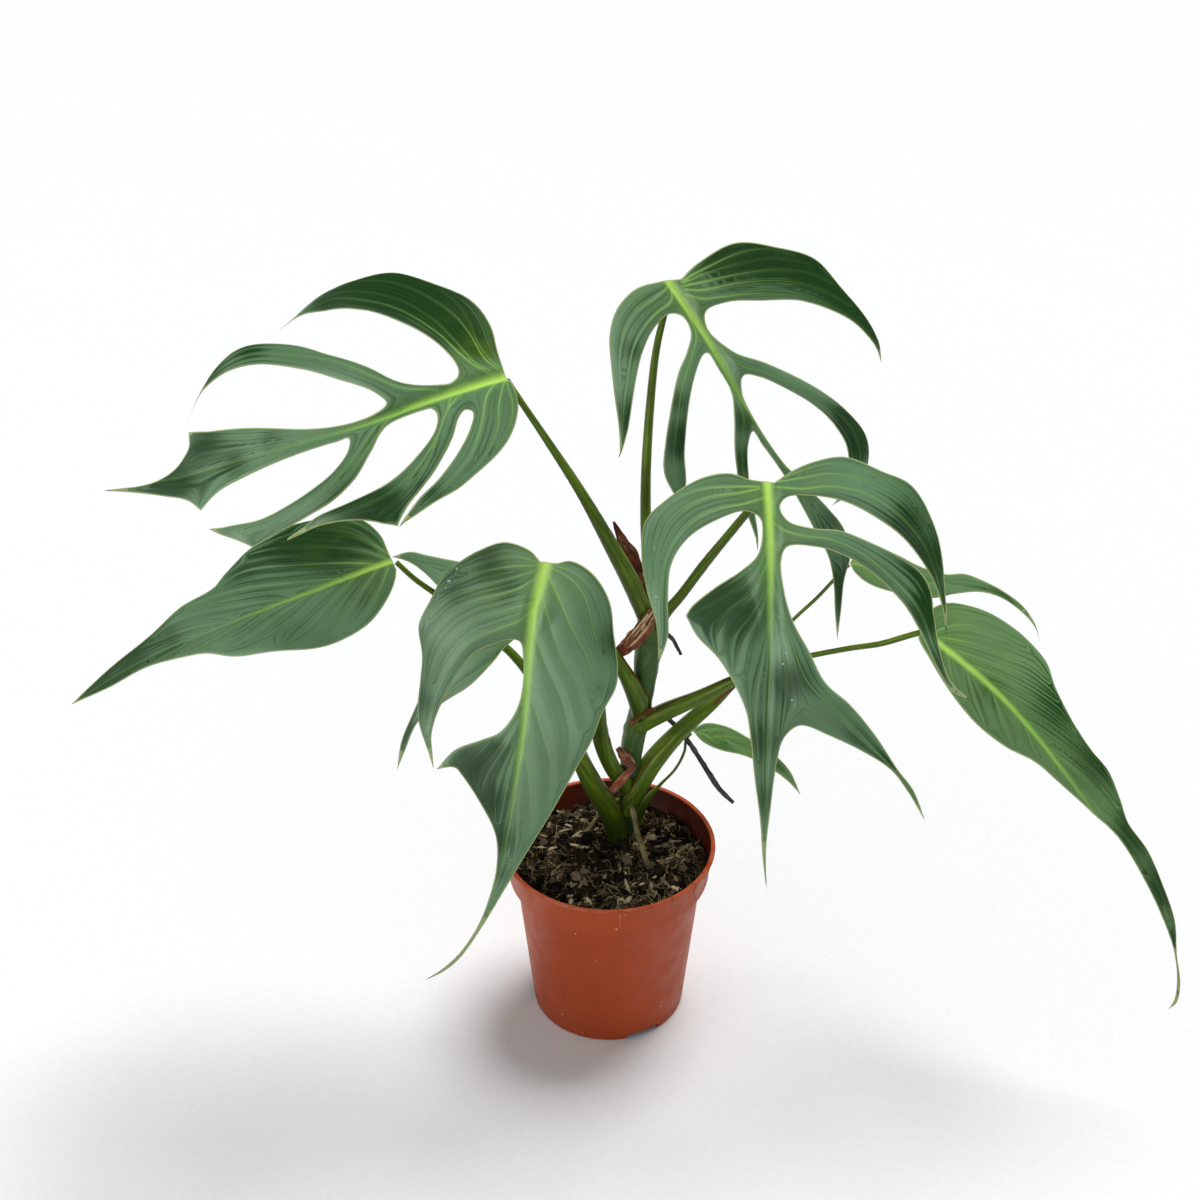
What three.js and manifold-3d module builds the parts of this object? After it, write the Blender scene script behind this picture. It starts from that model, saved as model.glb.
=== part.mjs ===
// A potted flame-leaved monstera: nine long-tipped leaves on one short zig-zag stem, in a nursery pot.
// Millimetres, +Z up, origin at the middle of the pot's underside. The side that shows best faces -Y.
import * as THREE from "three";
import { mergeVertices } from "three/addons/utils/BufferGeometryUtils.js";
import Module from "manifold-3d";

const wasm = await Module();
wasm.setup();

// Clear distance between pieces that touch on the real plant
const GAP = 0.3;

// Nursery pot: outside radii and heights, with the thin wall all round
const POT_HEIGHT = 110;
const POT_RIM_RADIUS = 60;
const POT_COLLAR_HEIGHT = 21;
const POT_COLLAR_FOOT_RADIUS = 56.5;
const POT_WALL_TOP_RADIUS = 52.5;
const POT_BASE_RADIUS = 43.5;
const POT_WALL = 1.4;
const POT_FLOOR = 2;
const POT_SIDES = 48;
const DRAIN_COUNT = 3;
const DRAIN_SIZE = [14, 20, 4.5];
const DRAIN_TURN = THREE.MathUtils.degToRad(-63);

// Potting soil, 12 mm below the rim and uneven on top
const SOIL_LEVEL = 98;
const SOIL_RELIEF = 1.6;
const SOIL_FRONT_RISE = 0.035;

// Leaf blades: a thin sheet with a raised midrib on its underside, as high as a share of its length
const BLADE_THICKNESS = 0.8;
const RIB_SHARE = 0.0075;
const RIB_HALF_WIDTH = 2;
const BLADE_CELL = 13;
const OUTLINE_TOLERANCE = 0.45;
const WAVE_REACH = 40;
const WAVE_SIDE_SHIFT = 2.2;

// Stalks: straight pieces of the round stems, petioles and roots
const STALK_STEP = 10;
const STALK_SIDES = 8;

// Where a petiole is trimmed off above its blade's underside, from just before the blade's base
const TRIM_LENGTH = 30;
const TRIM_HALF_WIDTH = 14;
const TRIM_HEIGHT = 8;
const TRIM_MARGIN = 0.5;

const COLOURS = {
  pot: { color: 0xa8502f, roughness: 0.55 },
  soil: { color: 0x2b2119, roughness: 1 },
  stem: { color: 0x4f6136, roughness: 0.6 },
  petiole: { color: 0x5c7222, roughness: 0.5 },
  blade: { color: 0x2f6b3a, roughness: 0.4 },
  husk: { color: 0x7a4426, roughness: 0.85 },
  root: { color: 0x5a4d33, roughness: 0.9 },
};

// Each leaf lies in a frame of its own: u runs from the base to the tip, v to the left of it as seen
// from above the blade, and the blade faces `facing`. `arch` is how far its middle stands proud of the
// straight line from base to tip, `fold` the slope of its left and right half beside the midrib, and
// `droop` bends both halves back down. `midrib` gives v along u. `outline` is a row of smooth
// stretches, each of which ends at a sharp corner or tip and starts where the last one ended.
const LEAVES = [
  {
    name: "upper_left",
    base: [-51, -15, 409],
    tip: [-244, -45, 363],
    facing: [-0.11, -0.55, 0.83],
    arch: 26,
    fold: [0.1, 0.1],
    droop: 0.0035,
    wave: { height: 2, length: 70, start: 0.5 },
    midrib: [[0, 0], [32, 9], [76.5, 18.5], [151, 16], [200.5, 0]],
    outline: [
      // back lobe, outer edge
      [
        [0, -14], [0, -31], [5.5, -48], [19, -65], [37.5, -77.5], [57, -73.5], [79, -71],
        [100, -51.5],
      ],
      // back lobe, inner edge and the next lobe to its tip
      [
        [89.5, -59], [73.5, -55], [59, -47], [46, -40], [34, -30], [24.5, -16.5], [20.5, -4],
        [25, 2], [35.5, 3.5], [49, -0.5], [61, -11], [78, -24.5], [96.5, -42], [115, -44.5],
        [130.5, -36], [143.5, -23.5], [153, -8.5],
      ],
      // second lobe, inner edge to the first tip corner
      [
        [144, -22], [136, -27], [124, -30], [109.5, -29.5], [93.5, -22], [76, -8.5], [61, 3],
        [57, 9.5], [63.5, 13.5], [78, 15.5], [94.5, 13.5], [122.5, 3.5], [152, -6],
      ],
      // end lobe, back corner to the drip tip
      [[154, 1], [163, 8.5], [177, 9], [202, -1]],
      // drip tip to the front corner
      [[170.5, 20], [159.5, 28], [154, 36]],
      // end lobe, front edge and fifth lobe to its tip
      [
        [144.5, 30.5], [127, 27.5], [102, 25], [84.5, 24], [78, 24], [79.5, 31.5], [88, 40.5],
        [99, 46], [115, 50.5], [130, 52.5], [152, 47],
      ],
      // fifth lobe, corner
      [[145, 54], [133.5, 63.5]],
      // fifth lobe, front edge and fourth lobe to its tip
      [
        [120, 60.5], [104.5, 58], [92, 55], [80, 47.5], [69.5, 35], [60, 23], [48, 18], [38, 15.5],
        [35.5, 19.5], [38, 28.5], [52.5, 43], [67, 52.5], [84.5, 58], [101, 60], [122, 65],
      ],
      // fourth lobe, end edge
      [[109, 64], [92, 66], [76, 69.5], [66, 73]],
      // slit beside the front lobe
      [
        [58.5, 63], [42, 47], [31.5, 33.5], [25.5, 22], [21.5, 18.5], [19, 20.5], [22.5, 30],
        [31, 41.5], [42, 52], [53.5, 60.5], [61, 68.5], [65.5, 73.5],
      ],
      // front lobe, outer edge
      [[47.5, 63.5], [32, 57], [14.5, 45], [3, 30.5], [-3, 14.5], [-2.5, 4.5], [-0.5, -0.5]],
    ],
  },
  {
    name: "back_right",
    base: [31, 45, 430],
    tip: [123, 15, 237],
    facing: [0.41, -0.85, 0.33],
    arch: 28,
    fold: [0.08, 0.08],
    droop: 0.0035,
    wave: { height: 2, length: 80, start: 2 },
    midrib: [[0, 0], [33, 0], [72, -0.5], [152.5, 8], [216, 0]],
    outline: [
      // left back lobe, outer edge
      [[-5.5, -6], [-7.5, -17], [-4, -30], [5, -40.5], [19.5, -50], [35.5, -60], [56.5, -71]],
      // left back lobe, inner edge and second lobe to its tip
      [
        [46, -61], [28, -43.5], [18, -32], [11.5, -21], [9.5, -10.5], [13.5, -5.5], [21.5, -6.5],
        [28, -13.5], [34.5, -23.5], [44, -34], [59.5, -47], [73.5, -54], [92, -54.5],
      ],
      // second lobe, inner edge and third lobe to its tip
      [
        [85.5, -47.5], [69, -40.5], [52.5, -29.5], [40, -17], [34, -7.5], [34.5, -4.5], [42, -4],
        [54, -4.5], [66.5, -10], [81.5, -18.5], [101, -25.5], [114.5, -28], [135.5, -30],
      ],
      // third lobe, inner edge and left side of the end lobe to its corner
      [
        [114, -23.5], [96.5, -18], [83, -11], [78.5, -5], [88.5, -3], [106.5, 0], [125, 2],
        [144, 4], [164.5, 6.5], [182, 4.5],
      ],
      // end lobe, down to the drip tip
      [[197, 1.5], [216, -0.5]],
      // drip tip up to the right corner
      [[198, 5.5], [181.5, 11.5], [172, 18]],
      // end lobe, right side and right middle lobe to its tip
      [
        [154, 20], [137, 15.5], [116.5, 8], [101, 3], [76.5, 0], [59.5, 1], [52.5, 5.5], [57, 12],
        [70, 22], [84.5, 31], [100.5, 37.5], [114.5, 39], [128.5, 31.5], [137, 18],
      ],
      // right middle lobe, outer edge and right back lobe to its tip
      [
        [134.5, 39], [124, 51.5], [115.5, 54], [98, 48], [74, 34.5], [53.5, 19.5], [39.5, 7],
        [25, 3], [17.5, 7], [19, 19], [28, 36.5], [41, 58.5], [60.5, 75.5], [74.5, 80.5],
        [91.5, 83.5],
      ],
      // right back lobe, outer edge
      [[72, 87], [50, 86.5], [31.5, 83], [11.5, 61.5], [-1.5, 42], [-3, 20], [-1, 6]],
    ],
  },
  {
    name: "front_right",
    base: [77, -35, 361],
    tip: [78, -125, 181],
    facing: [0, -0.89, 0.45],
    arch: 24,
    fold: [0.08, 0.08],
    droop: 0.003,
    wave: { height: 1.8, length: 75, start: 1 },
    midrib: [[0, 0], [28.5, 0.5], [74, -0.5], [142.5, -2], [201, 0]],
    outline: [
      // left back lobe, outer edge
      [
        [-2.5, -8.5], [-5.5, -18.5], [-3, -33], [7.5, -50], [18, -60], [34, -62], [51, -59.5],
        [65, -55.5], [86, -54],
      ],
      // left back lobe, inner edge and left end lobe to its corner
      [
        [71.5, -49.5], [54.5, -49.5], [37.5, -47.5], [25.5, -39.5], [17, -26], [12.5, -11.5],
        [16, -4.5], [24, -3.5], [33.5, -6], [41, -14.5], [48.5, -26.5], [57.5, -38], [62, -41],
      ],
      // left side of the end lobe to the drip tip
      [
        [72, -35.5], [82.5, -25.5], [95.5, -17.5], [108.5, -12], [125, -9.5], [142.5, -7.5],
        [163.5, -4.5], [185, -2.5], [202, 0],
      ],
      // drip tip up and right tail to its tip
      [
        [179.5, -1], [158.5, 0.5], [135, 3], [121.5, 6.5], [115.5, 14], [121, 29], [128.5, 44],
        [138.5, 59], [149.5, 67.5], [166, 77.5],
      ],
      // right tail, outer edge and right end lobe to its tip
      [
        [149, 70.5], [139, 63], [121.5, 51.5], [105.5, 38.5], [94, 26], [78.5, 18], [64.5, 10.5], [50, 6.5],
        [36, 5.5], [29.5, 8.5], [29.5, 22], [33, 34], [40, 46.5], [48.5, 56.5], [59, 66],
        [71.5, 73], [87.5, 80.5], [101, 89.5], [107.5, 101],
      ],
      // right end lobe, outer edge to the slit
      [
        [95.5, 88.5], [79.5, 82.5], [64, 80.5], [52, 79.5], [43.5, 75], [35, 63.5], [27.5, 48.5],
        [22, 34.5], [20.5, 20], [17, 9], [10.5, 5.5], [6, 9], [5.5, 23], [8.5, 37.5], [16, 52],
        [26.5, 66], [43, 78.5], [57, 84], [74, 86.5],
      ],
      // right back lobe, outer edge
      [
        [57, 87], [36, 86], [20.5, 82], [1, 71], [-6, 56.5], [-13, 38.5], [-11, 23.5], [-6, 11],
        [-1, 3],
      ],
    ],
  },
  {
    name: "front_left",
    base: [-32, -48, 322],
    tip: [-98, -95, 94],
    facing: [-0.12, -0.97, 0.23],
    arch: 26,
    fold: [0.1, 0.1],
    droop: 0.004,
    wave: { height: 2.2, length: 85, start: 3 },
    midrib: [[0, 0], [25, 2], [87.5, 15], [178, 21], [242, 0]],
    outline: [
      // right side, base to the drip tip
      [
        [-3, 4.5], [-6, 11], [-5, 19.5], [-0.5, 28], [8, 36], [22.5, 42.5], [37.5, 49.5],
        [45.5, 51], [57.5, 48.5], [72, 47.5], [89.5, 44], [116, 38.5], [141.5, 32.5], [165, 27.5],
        [191.5, 22], [218.5, 15], [232, 8.5], [243.5, 0],
      ],
      // drip tip and left end lobe to its corner
      [
        [229.5, 8], [214, 14.5], [192.5, 19.5], [171.5, 21], [152.5, 20], [135.5, 15], [120.5, 3],
        [109.5, -9.5], [107, -14], [111, -22.5],
      ],
      // left end lobe, upper edge and sinus to the left lobe tip
      [
        [98.5, -16.5], [89, -5.5], [82, 2.5], [70, 7], [58.5, 7], [42.5, 2.5], [36.5, -1],
        [36.5, -6], [40.5, -12.5], [47.5, -20.5], [62, -26], [75.5, -29], [93.5, -30], [111.5, -24],
      ],
      // left side up to the base
      [
        [99.5, -32.5], [89, -40], [73.5, -43.5], [60, -46], [45, -51.5], [31.5, -49.5], [19, -47],
        [11.5, -42], [2.5, -33.5], [-5, -22.5], [-5, -9.5], [-1.5, -3],
      ],
    ],
  },
  {
    name: "left",
    base: [-112, 5, 293],
    tip: [-276, -50, 240],
    facing: [-0.14, -0.43, 0.89],
    arch: 14,
    fold: [0.12, 0.12],
    droop: 0.004,
    wave: { height: 2.4, length: 60, start: 0 },
    midrib: [[0, 0], [43.5, 4], [99, 3.5], [127, 1], [181, 0]],
    outline: [
      // back side
      [
        [1, -6], [1, -17.5], [7, -32], [21, -43.5], [36.5, -43.5], [54, -37.5], [69, -35],
        [82.5, -27.5], [91, -21], [110.5, -17.5], [129.5, -11], [155, -6], [181, 0],
      ],
      // front side
      [
        [158.5, 4.5], [138, 5.5], [119.5, 10.5], [107, 15], [93.5, 24.5], [76.5, 31], [57.5, 37],
        [42.5, 37.5], [24.5, 34], [9.5, 21], [1.5, 7.5], [1, 1.5],
      ],
    ],
  },
  {
    name: "behind_left",
    base: [-32, -12, 279],
    tip: [-112, -40, 191],
    facing: [-0.34, -0.76, 0.55],
    arch: 12,
    fold: [0.08, 0.08],
    droop: 0.003,
    wave: { height: 1.2, length: 60, start: 1 },
    midrib: [[0, 0], [32.5, 3.5], [65, -2.5], [82.5, -4], [122, 0]],
    outline: [
      // back edge, base to the upper lobe tip
      [
        [-1.5, -6.5], [0, -17.5], [9, -35.5], [19, -50.5], [28.5, -65.5], [34.5, -75], [44, -81.5],
      ],
      // upper lobe, lower edge and left side to the drip tip
      [
        [38, -70.5], [35.5, -59], [35.5, -45.5], [38.5, -33.5], [45.5, -25.5], [58.5, -20],
        [75.5, -15.5], [93, -11], [108.5, -7], [122.5, 0],
      ],
      // drip tip and right side to the base
      [
        [110.5, -2.5], [93.5, -6], [74, -1.5], [58.5, 3], [43, 3.5], [33, 2.5], [18, 3.5], [6, 5],
        [0.5, 2],
      ],
    ],
  },
  {
    name: "far_right",
    base: [164, -12, 260],
    tip: [297, -105, 83],
    facing: [0.4, -0.55, 0.73],
    arch: 24,
    fold: [0.1, -0.45],
    droop: 0.004,
    wave: { height: 2.2, length: 75, start: 1.5 },
    midrib: [[0, 0], [48.5, 7], [122, 9.5], [188, 16], [240, 0]],
    outline: [
      // back side, base to the drip tip
      [
        [-6, 12], [-3.5, 24], [7, 35], [20, 43.5], [36, 49.5], [51, 47.5], [64, 38], [81, 32.5],
        [99.5, 31.5], [115, 33.5], [130, 29], [142.5, 25], [161.5, 27.5], [182.5, 26.5], [203, 24],
        [219, 16.5], [234.5, 11.5], [241, 5.5], [240.5, -1.5],
      ],
      // front side, drip tip to the base
      [
        [238, 5], [229.5, 11], [215.5, 15.5], [193, 17], [167.5, 16.5], [145, 14.5], [124, 8.5],
        [103, 3.5], [86.5, 0], [71.5, -6.5], [52.5, -10.5], [32.5, -10], [13.5, -7], [0.5, -3.5],
        [-1, 0],
      ],
    ],
  },
  {
    name: "small_right",
    base: [132, 50, 264],
    tip: [231, 15, 235],
    facing: [0.1, -0.45, 0.89],
    arch: 14,
    fold: [0.1, 0.1],
    droop: 0.006,
    wave: { height: 1, length: 45, start: 0 },
    midrib: [[0, 0], [32.5, -2], [66.5, 7], [83, 12], [109, 0]],
    outline: [
      // back side, base to the drip tip
      [
        [2, 8], [17, 11], [34.5, 7], [48.5, 7.5], [58, 12.5], [69.5, 14], [82, 14.5], [94.5, 13],
        [104, 8], [110, 0.5],
      ],
      // front side, drip tip to the base
      [
        [105, 6], [94.5, 9.5], [81.5, 10], [69.5, 6.5], [57.5, -2], [46.5, -10.5], [31, -14],
        [14, -12.5], [4, -6.5], [-1, 0],
      ],
    ],
  },
  {
    name: "small_low",
    base: [48, 42, 157],
    tip: [108, 15, 132],
    facing: [0.12, -0.51, 0.85],
    arch: 7,
    fold: [0.12, 0.12],
    droop: 0.008,
    wave: { height: 0.5, length: 40, start: 0 },
    midrib: [[0, 0], [15.5, 2], [32.5, 5.5], [62, 4], [70.5, 0]],
    outline: [
      // back side
      [[3.5, 7], [14, 10.5], [30, 10.5], [47, 10], [58.5, 7.5], [70.5, 0]],
      // front side
      [[60.5, 1.5], [48, 1.5], [32.5, -0.5], [19, -4.5], [8.5, -4.5], [-1, 0]],
    ],
  },
];

// Stems, petioles and roots: points along the middle, with the half width and half depth at each
const STEM = {
  route: [[11, 28, 86], [11, 26, 102], [12, 24, 116], [11, 21, 131], [12, 18, 149], [13, 15, 167],
    [16, 12, 189], [19, 10, 207], [20, 8, 228], [21, 7, 245], [20, 6, 260]],
  girth: [5, 5.4, 5.6, 5.6, 5.8, 6.4, 5.8, 5.4, 6.8, 6.8, 5.2],
};

const PETIOLES = {
  upper_left: {
    route: [[19, 6, 258], [11, 2, 283], [1, -1, 306], [-15, -6, 341], [-32, -11, 374], [-45, -14, 398]],
    girth: [4.6, 5.2, 4.2, 3, 2.3, 1.8, 1.6],
  },
  back_right: {
    route: [[21, 9, 258], [20, 17, 285], [19, 25, 306], [19, 30, 333], [21, 37, 370], [24, 41, 399]],
    girth: [3, 3, 2.8, 2.5, 2.2, 1.9, 1.6],
  },
  front_right: {
    route: [[23, 6, 240], [29, 2, 261], [37, -4, 277], [49, -12, 302], [63, -21, 329], [71, -27, 345]],
    girth: [3.4, 3, 2.7, 2.6, 2.3, 2.1, 1.8],
  },
  front_left: {
    route: [[11, 16, 136], [3, 9, 154], [-2, 5, 169], [-5, 1, 184], [-6, -4, 201], [-7, -10, 221],
      [-11, -18, 246], [-18, -28, 273], [-26, -38, 299]],
    girth: [5.2, 4.8, 4.6, 4.4, 4, 3.4, 2.8, 2.3, 2, 1.8],
  },
  left: {
    route: [[5, 20, 91], [4, 19, 102], [2, 16, 115], [-2, 12, 129], [-8, 8, 144], [-16, 5, 166],
      [-27, 4, 193], [-37, 6, 210], [-51, 8, 231], [-69, 8, 250], [-89, 7, 269], [-102, 6, 281]],
    girth: [5.4, 6.4, 6.6, 6.2, 5.4, 4.2, 3.4, 2.8, 2.4, 2, 1.7, 1.5, 1.4],
  },
  behind_left: {
    route: [[17, 9, 191], [15, 4, 206], [11, 1, 220], [4, -2, 236], [-4, -5, 250], [-15, -8, 262],
      [-26, -10, 271]],
    girth: [4.6, 5.2, 5, 4, 3, 2.2, 1.7, 1.5],
  },
  far_right: {
    route: [[16, 11, 183], [28, 8, 193], [49, 4, 207], [70, 2, 221], [88, 0, 231], [107, -2, 238],
      [127, -4, 244], [143, -7, 249], [154, -10, 255]],
    girth: [5.2, 5, 4.2, 3.4, 2.4, 1.8, 1.5, 1.5, 1.6, 1.6],
  },
  small_right: {
    route: [[11, 17, 118], [15, 15, 135], [23, 17, 151], [33, 20, 164], [46, 24, 177], [58, 28, 187],
      [78, 35, 207], [101, 42, 232], [114, 46, 244], [124, 49, 255]],
    girth: [4.6, 6, 6, 5, 4.2, 3.2, 1.8, 1.1, 1, 1, 0.9],
  },
  small_low: {
    route: [[17, 28, 93], [17, 30, 102], [20, 30, 112], [25, 31, 121], [30, 32, 127], [38, 34, 136],
      [43, 37, 146], [44, 40, 152]],
    girth: [2.2, 2.4, 2.3, 2, 1, 0.8, 0.8, 0.8, 0.8],
  },
};

const ROOTS = {
  root_right: {
    route: [[17, 16, 180], [28, 26, 180], [36, 31, 170], [45, 31, 157], [54, 29, 142], [63, 27, 127],
      [71, 26, 118]],
    girth: [1.4, 1.4, 1.3, 1.3, 1.4, 1.5, 1],
  },
  root_stub: {
    route: [[23, 6, 250], [32, 0, 249], [38, -4, 240]],
    girth: [1.3, 1.1, 0.8],
  },
  root_front: {
    route: [[11, 16, 131], [14, 7, 124], [16, 1, 116], [19, -4, 108], [22, -9, 99], [23, -10, 92]],
    girth: [1.6, 1.6, 1.5, 1.5, 1.3],
  },
  root_left: {
    route: [[10, 24, 122], [-1, 24, 119], [-7, 23, 109], [-13, 21, 99], [-15, 21, 92]],
    girth: [1.3, 1.3, 1.2, 1.2, 1],
  },
};

// Dried papery sheaths that once wrapped the young leaves: flat strips, with half width and half depth
const HUSK_HALF_DEPTH = 0.5;
const HUSKS = {
  husk_top: {
    route: [[17, 11, 262], [14, 11, 280], [12, 10, 292], [7, 8, 303], [2, 4, 317]],
    girth: [2.8, 3.6, 4, 2.8, 0.6],
  },
  husk_torn: {
    route: [[24, 0.4, 266], [19, -0.6, 257], [12, -0.6, 247], [5, 0.6, 238]],
    girth: [2.6, 4.4, 4.8, 3.2],
  },
  husk_ring: {
    route: [[11, 6, 188], [17, 4.4, 194], [24, 4.6, 199]],
    girth: [1.6, 1.5, 1.2],
  },
  husk_low: {
    route: [[1, 5, 142], [7, 4.4, 151], [14, 5.6, 160]],
    girth: [2.2, 2.6, 1.6],
  },
  husk_mid: {
    route: [[5, 11, 168], [10, 8.6, 162], [14, 9, 155]],
    girth: [1.6, 3.6, 1.6],
  },
  husk_strand: {
    route: [[46, 23, 174], [56, 24, 185], [62, 25, 192], [69, 26, 198]],
    girth: [0.9, 0.8, 0.7, 0.6],
  },
};

const vector = (p) => new THREE.Vector3(...p);

// A closed three.js geometry as a solid: shared corners are merged and empty triangles dropped
function solid(geometry) {
  const bare = geometry.clone();
  bare.deleteAttribute("normal");
  bare.deleteAttribute("uv");
  const merged = mergeVertices(bare, 1e-4);
  const corners = merged.index.array;
  const kept = [];
  for (let i = 0; i < corners.length; i += 3) {
    const [a, b, c] = [corners[i], corners[i + 1], corners[i + 2]];
    if (a !== b && b !== c && c !== a) kept.push(a, b, c);
  }
  return new wasm.Manifold(new wasm.Mesh({
    numProp: 3,
    vertProperties: Float32Array.from(merged.attributes.position.array),
    triVerts: Uint32Array.from(kept),
  }));
}

// The largest connected piece of a solid, as a geometry: cuts can leave thin scraps behind
function geometryOf(body) {
  const { vertProperties, triVerts } = body.getMesh();
  const owner = Array.from({ length: vertProperties.length / 3 }, (_, i) => i);
  const find = (i) => {
    while (owner[i] !== i) i = owner[i] = owner[owner[i]];
    return i;
  };
  for (let i = 0; i < triVerts.length; i += 3) {
    owner[find(triVerts[i])] = find(triVerts[i + 1]);
    owner[find(triVerts[i + 1])] = find(triVerts[i + 2]);
  }
  const groups = new Map();
  for (let i = 0; i < triVerts.length; i += 3) {
    const key = find(triVerts[i]);
    if (!groups.has(key)) groups.set(key, []);
    groups.get(key).push(triVerts[i], triVerts[i + 1], triVerts[i + 2]);
  }
  const volume = (triangles) => {
    const [a, b, c] = [new THREE.Vector3(), new THREE.Vector3(), new THREE.Vector3()];
    let sum = 0;
    for (let i = 0; i < triangles.length; i += 3) {
      a.fromArray(vertProperties, triangles[i] * 3);
      b.fromArray(vertProperties, triangles[i + 1] * 3);
      c.fromArray(vertProperties, triangles[i + 2] * 3);
      sum += a.dot(b.cross(c)) / 6;
    }
    return sum;
  };
  const [largest] = [...groups.values()].sort((p, q) => volume(q) - volume(p));
  const geometry = new THREE.BufferGeometry();
  geometry.setAttribute("position", new THREE.BufferAttribute(Float32Array.from(vertProperties), 3));
  geometry.setIndex(largest);
  const used = mergeVertices(geometry.toNonIndexed(), 1e-6);
  used.computeVertexNormals();
  return used;
}

// A closed skin over a grid of points: front and back are grids of the same size, joined round the edge
function shell(front, back) {
  const rows = front.length;
  const columns = front[0].length;
  const positions = [...front.flat(), ...back.flat()].flatMap((p) => [p.x, p.y, p.z]);
  const at = (i, j, side) => side * rows * columns + i * columns + j;
  const index = [];
  for (let i = 0; i < rows - 1; i++) {
    for (let j = 0; j < columns - 1; j++) {
      for (const side of [0, 1]) {
        const [a, b, c, d] = [at(i, j, side), at(i + 1, j, side), at(i + 1, j + 1, side), at(i, j + 1, side)];
        if (side === 0) index.push(a, b, c, a, c, d);
        else index.push(a, c, b, a, d, c);
      }
    }
  }
  const border = [];
  for (let i = 0; i < rows - 1; i++) border.push([i, 0]);
  for (let j = 0; j < columns - 1; j++) border.push([rows - 1, j]);
  for (let i = rows - 1; i > 0; i--) border.push([i, columns - 1]);
  for (let j = columns - 1; j > 0; j--) border.push([0, j]);
  border.forEach(([i, j], k) => {
    const [m, n] = border[(k + 1) % border.length];
    index.push(at(m, n, 0), at(i, j, 0), at(i, j, 1), at(m, n, 0), at(i, j, 1), at(m, n, 1));
  });
  const geometry = new THREE.BufferGeometry();
  geometry.setAttribute("position", new THREE.Float32BufferAttribute(positions, 3));
  geometry.setIndex(index);
  return geometry;
}

// A smooth curve through points [x, y] with rising x, read at x
function through(points, x) {
  const last = points.length - 2;
  let i = 0;
  while (i < last && x > points[i + 1][0]) i++;
  const slope = (k) => {
    const before = points[Math.max(k - 1, 0)];
    const after = points[Math.min(k + 1, last + 1)];
    return (after[1] - before[1]) / (after[0] - before[0]);
  };
  const [x0, y0] = points[i];
  const [x1, y1] = points[i + 1];
  if (x < x0) return y0 + slope(i) * (x - x0);
  if (x > x1) return y1 + slope(i + 1) * (x - x1);
  const h = x1 - x0;
  const t = (x - x0) / h;
  const lift = (2 * t ** 3 - 3 * t ** 2 + 1) * y0 + (3 * t ** 2 - 2 * t ** 3) * y1;
  return lift + h * ((t ** 3 - 2 * t ** 2 + t) * slope(i) + (t ** 3 - t ** 2) * slope(i + 1));
}

function leafMatrix({ base, tip, facing }) {
  const along = vector(tip).sub(vector(base)).normalize();
  const up = vector(facing).addScaledVector(along, -vector(facing).dot(along)).normalize();
  const side = up.clone().cross(along);
  return new THREE.Matrix4().makeBasis(along, side, up).setPosition(vector(base));
}

const leafLength = ({ base, tip }) => vector(base).distanceTo(vector(tip));

// Height of the blade's middle surface over the leaf's plane, q being the distance from the midrib
function bladeHeight(leaf, u, q) {
  const { arch, fold, droop, wave } = leaf;
  const bow = arch * (1 - (2 * u / leafLength(leaf) - 1) ** 2);
  const halves = (q > 0 ? fold[0] : fold[1]) * Math.abs(q) - droop * q * q;
  const phase = (2 * Math.PI * u) / wave.length + wave.start + (q > 0 ? 0 : WAVE_SIDE_SHIFT);
  const reach = Math.min(Math.abs(q) / WAVE_REACH, 1.5) ** 2;
  return bow + halves + wave.height * reach * Math.sin(phase);
}

// Both faces of the blade over a rectangle of its plane, `above` and `below` being added to them
function bladeSlab(leaf, uRange, qRange, above, below) {
  const spread = (from, to) => {
    const count = Math.max(1, Math.ceil((to - from) / BLADE_CELL));
    return Array.from({ length: count + 1 }, (_, i) => from + ((to - from) * i) / count);
  };
  const rows = spread(...uRange);
  const left = spread(RIB_HALF_WIDTH, qRange[1]);
  const right = spread(qRange[0], -RIB_HALF_WIDTH);
  const columns = [...right, 0, ...left];
  const length = leafLength(leaf);
  const place = (u, q, side) => {
    const height = bladeHeight(leaf, u, q);
    const slopeU = bladeHeight(leaf, u + 0.5, q) - bladeHeight(leaf, u - 0.5, q);
    const slopeQ = bladeHeight(leaf, u, q + 0.5) - bladeHeight(leaf, u, q - 0.5);
    const stretch = Math.hypot(1, slopeU, slopeQ);
    const rib = q === 0 ? RIB_SHARE * THREE.MathUtils.clamp(length - u, 0, length) : 0;
    const half = (BLADE_THICKNESS / 2) * stretch;
    const offset = side > 0 ? half + above * stretch : -half - rib - below * stretch;
    return new THREE.Vector3(u, through(leaf.midrib, u) + q, height + offset);
  };
  const grid = (side) => rows.map((u) => columns.map((q) => place(u, q, side)));
  return solid(shell(grid(1), grid(-1)));
}

// Leaves out the points of a fine outline that lie within a tolerance of a straight run
function thin(points, tolerance) {
  if (points.length < 3) return points;
  const [first, last] = [points[0], points[points.length - 1]];
  const chord = last.clone().sub(first);
  const distance = (p) => {
    const arm = p.clone().sub(first);
    if (chord.length() < 1e-9) return arm.length();
    return Math.abs(arm.cross(chord)) / chord.length();
  };
  let far = 0;
  points.forEach((p, i) => {
    if (distance(p) > distance(points[far])) far = i;
  });
  if (distance(points[far]) <= tolerance) return [first, last];
  return [...thin(points.slice(0, far + 1), tolerance), ...thin(points.slice(far), tolerance).slice(1)];
}

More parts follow.
